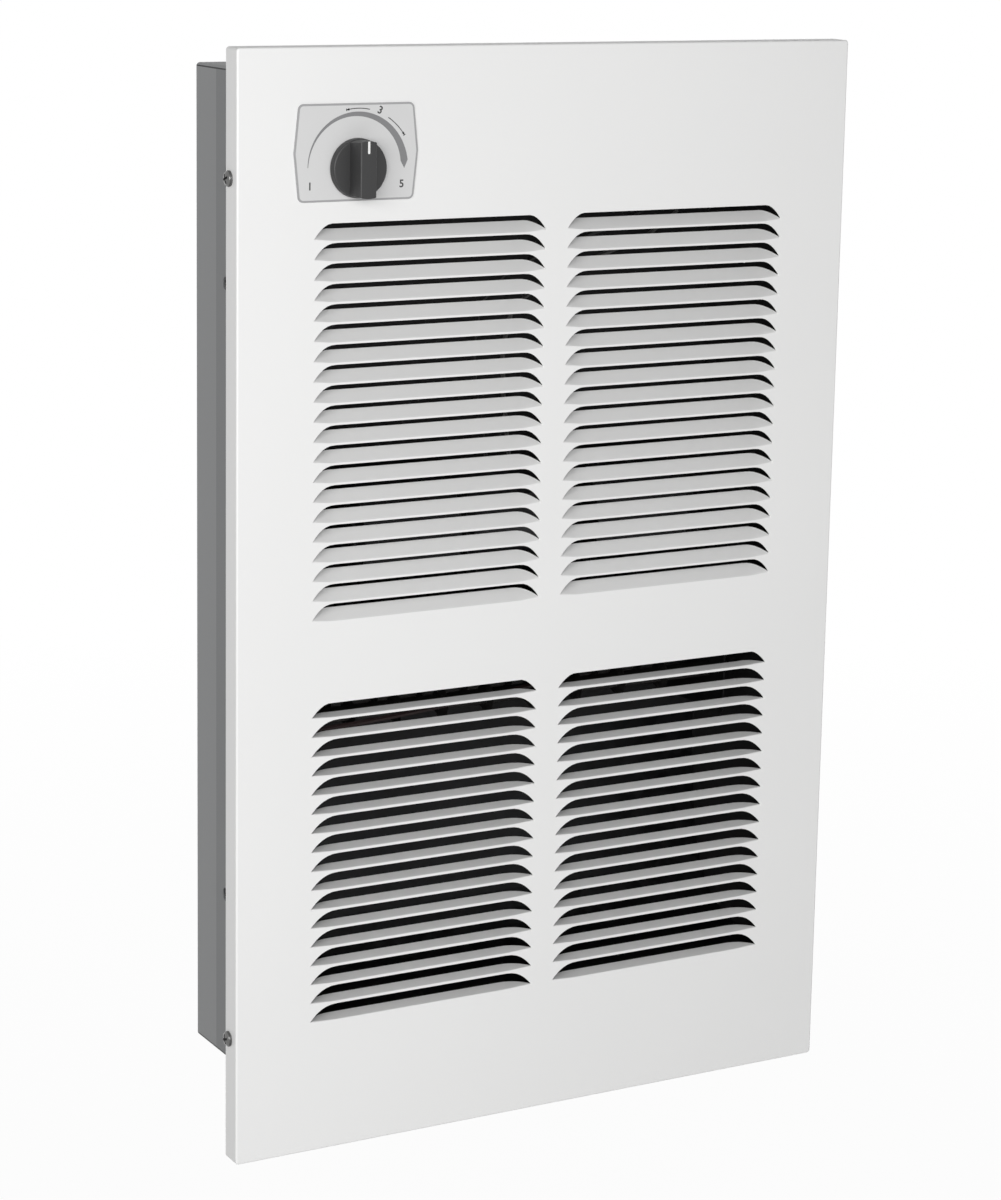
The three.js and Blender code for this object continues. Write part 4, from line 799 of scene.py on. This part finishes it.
def softenAll(piece):
    soft = piece.modifiers.new("soft edges", "BEVEL")
    soft.width = knob["softEdge"]
    soft.segments = knob["softSteps"]
    soft.limit_method = "ANGLE"
    soft.angle_limit = math.radians(knob["softAngle"])
    settle(piece)


def makeKnob():
    grip = holdMesh("grip", makeGrip())
    carve(grip, "INTERSECT", holdMesh("barrel", makeBarrel()))
    finish = "knob_charcoal"
    piece = addPiece("controlKnob", makeSkirt(), [finish], "knob", ["thermostat_knob"])
    carve(piece, "UNION", grip)
    softenAll(piece)
    piece.data.transform(Matrix.Translation((knob["x"], 0, knob["z"])))
    piece.data.materials.clear()
    piece.data.materials.append(finishes[finish])
    smooth(piece)


def makePointer():
    crest = knob["front"] + knob["crestDrop"]
    middle = knob["radius"] - knob["pointerEnd"] - knob["pointerLength"] / 2
    size = (knob["pointerWidth"], knob["pointerLift"] * 2, knob["pointerLength"])
    bm = block(size, (knob["x"], crest, knob["z"] + middle))
    soften(bm, deepEdges(bm), knob["pointerCorner"], knob["pointerSteps"])
    addPiece("pointerLine", bm, ["pointer_white"], "knob", ["knob_pointer"])


makeKnob()
makePointer()
print("knob made")


# panel screws with cross recesses

panelScrew = {
    "headHeight": 0.0028, "shankRadius": 0.0019, "steps": 32,
    "crown": ((0.25, 1), (0.5, 0.95), (0.72, 0.82), (0.9, 0.58), (1, 0.3)),
    "recessWidth": 0.0014, "recessReach": 0.0058, "recessDepth": 0.0018, "recessTurns": (20, 110),
    "wallTilt": 0.2, "wallShare": 0.6, "floorSlack": 0.00005,
}


# a screw along X with its head's underside at the origin
def turnScrew(head, length):
    rise, shank = panelScrew["headHeight"], panelScrew["shankRadius"]
    profile = [(-length, 0), (-length, shank), (0, shank), (0, head)]
    profile += [(up * rise, out * head) for up, out in panelScrew["crown"]]
    return turned(profile + [(rise, 0)], (1, 0, 0), panelScrew["steps"])


def recessTool(turn):
    bm = block((2 * panelScrew["recessDepth"], panelScrew["recessWidth"], panelScrew["recessReach"]))
    bmesh.ops.rotate(bm, cent=(0, 0, 0), matrix=Matrix.Rotation(math.radians(turn), 3, "X"), verts=bm.verts)
    bmesh.ops.translate(bm, vec=(panelScrew["headHeight"], 0, 0), verts=bm.verts)
    return bm


# painted shade: the walls and the floor of the cross recess take the near-black print finish, for the shade
# inside the recess
def paintRecessShade(piece):
    floorX = panelScrew["headHeight"] - panelScrew["recessDepth"]
    reach = panelScrew["wallShare"] * panelScrew["recessReach"]
    for face in piece.data.polygons:
        away = math.hypot(face.center.y, face.center.z)
        wall = abs(face.normal.x) < panelScrew["wallTilt"] and face.center.x > 0 and away < reach
        floor = abs(face.center.x - floorX) < panelScrew["floorSlack"]
        face.material_index = 1 if wall or floor else 0


def makePanelScrew(name, node):
    low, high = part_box(node)
    middle, rise = (low + high) / 2, panelScrew["headHeight"]
    bm = turnScrew((high.z - low.z) / 2, high.x - low.x - rise)
    # the second finish is the painted shade of the cross recess
    piece = addPiece(name, bm, ["screw_steel", "dial_black"], "housing", [node])
    for turn in panelScrew["recessTurns"]:
        carve(piece, "DIFFERENCE", holdMesh("cross", recessTool(turn)))
    paintRecessShade(piece)
    if middle.x < 0:
        piece.data.transform(Matrix.Rotation(math.pi, 4, "Z"))
    seat = high.x - rise if middle.x > 0 else low.x + rise
    piece.data.transform(Matrix.Translation((seat, middle.y, middle.z)))
    smooth(piece)


for number in (1, 2, 3, 4):
    makePanelScrew(f"panelScrew{number}", f"grille_screw_{number}")
print("panel screws made")


# studio

studio = {
    "floorZ": -0.62, "floorSize": 14.0, "floorColor": (0.9, 0.9, 0.9, 1.0), "floorWhite": 0.95,
    "floorFade": 2.4, "white": (1, 1, 1, 1), "worldLevel": 0.15,
    "cameraAt": (-0.94437, -1.64438, 0.42031), "cameraTurn": (78.7227, -0.9932, -28.9871),
    "focal": 3161.97, "imageHeight": 1200.0, "shiftDown": 100.0, "sensor": 36.0, "clip": (0.05, 60.0),
    "lamps": (
        {"name": "keyLamp", "at": (-1.15, -1.75, 0.58), "wide": 2.4, "tall": 0.9, "watts": 42.5},
    ),
}


def seenRays(tree):  # 1 for what the camera sees, directly, as a reflection or through glass
    path = Signal(tree, tree.nodes.new("ShaderNodeLightPath").outputs["Is Camera Ray"])
    glossy = Signal(tree, path.socket.node.outputs["Is Glossy Ray"])
    through = Signal(tree, path.socket.node.outputs["Is Transmission Ray"])
    return path.math("MAXIMUM", path.math("MAXIMUM", path, glossy), through)


def floorFinish():  # matt in its light, and nearly white to the camera
    material = bpy.data.materials.new("paleFloor")
    material.use_nodes = True
    tree = material.node_tree
    tree.nodes.clear()
    seen = seenRays(tree)
    matt = seen.node("BsdfDiffuse", {}, {"Color": studio["floorColor"]})
    white = seen.node("Emission", {}, {"Color": studio["white"], "Strength": 1.0})
    place = Signal(tree, tree.nodes.new("ShaderNodeTexCoord").outputs["Object"])
    across = 1 / studio["floorFade"]
    flat = place.node("Mapping", {}, {"Vector": place, "Scale": (across, across, 0)})
    near = flat.node("TexGradient", {"gradient_type": "SPHERICAL"}, {"Vector": flat}, 1)
    share = 1 - near * (1 - studio["floorWhite"])
    mixed = seen.node("MixShader", {}, {0: seen * share, 1: matt, 2: white})
    mixed.into(tree.nodes.new("ShaderNodeOutputMaterial"), "Surface")
    return material


def makeFloor():
    bm = bmesh.new()
    bmesh.ops.create_grid(bm, x_segments=1, y_segments=1, size=studio["floorSize"] / 2,
                          matrix=Matrix.Translation((0, 0, studio["floorZ"])))
    floor = holdMesh("floor", bm)
    floor.data.materials.append(floorFinish())


def makeWorld():
    world = bpy.data.worlds.new("softRoom")
    world.use_nodes = True
    background = world.node_tree.nodes["Background"]
    seen, level = seenRays(world.node_tree), studio["worldLevel"]
    (level + seen * (1 - level)).into(background, "Strength")
    background.inputs["Color"].default_value = studio["white"]
    bpy.context.scene.world = world


def makeLamps():
    for lamp in studio["lamps"]:
        light = bpy.data.lights.new(lamp["name"], "AREA")
        light.shape = "RECTANGLE"
        light.size, light.size_y = lamp["wide"], lamp["tall"]
        light.energy = lamp["watts"]
        holder = bpy.data.objects.new(lamp["name"], light)
        holder.location = lamp["at"]
        holder.rotation_euler = (-Vector(lamp["at"])).to_track_quat("-Z", "Y").to_euler()
        bpy.context.scene.collection.objects.link(holder)


def makeCamera():
    data = bpy.data.cameras.new("camera")
    data.sensor_width = studio["sensor"]
    data.lens = studio["sensor"] * studio["focal"] / studio["imageHeight"]
    data.shift_y = -studio["shiftDown"] / studio["imageHeight"]
    data.clip_start, data.clip_end = studio["clip"]
    holder = bpy.data.objects.new("camera", data)
    holder.location = studio["cameraAt"]
    holder.rotation_euler = [math.radians(angle) for angle in studio["cameraTurn"]]
    bpy.context.scene.collection.objects.link(holder)
    bpy.context.scene.camera = holder


makeFloor()
makeWorld()
makeLamps()
makeCamera()
bpy.context.scene.view_settings.view_transform = "Standard"
print("studio made")
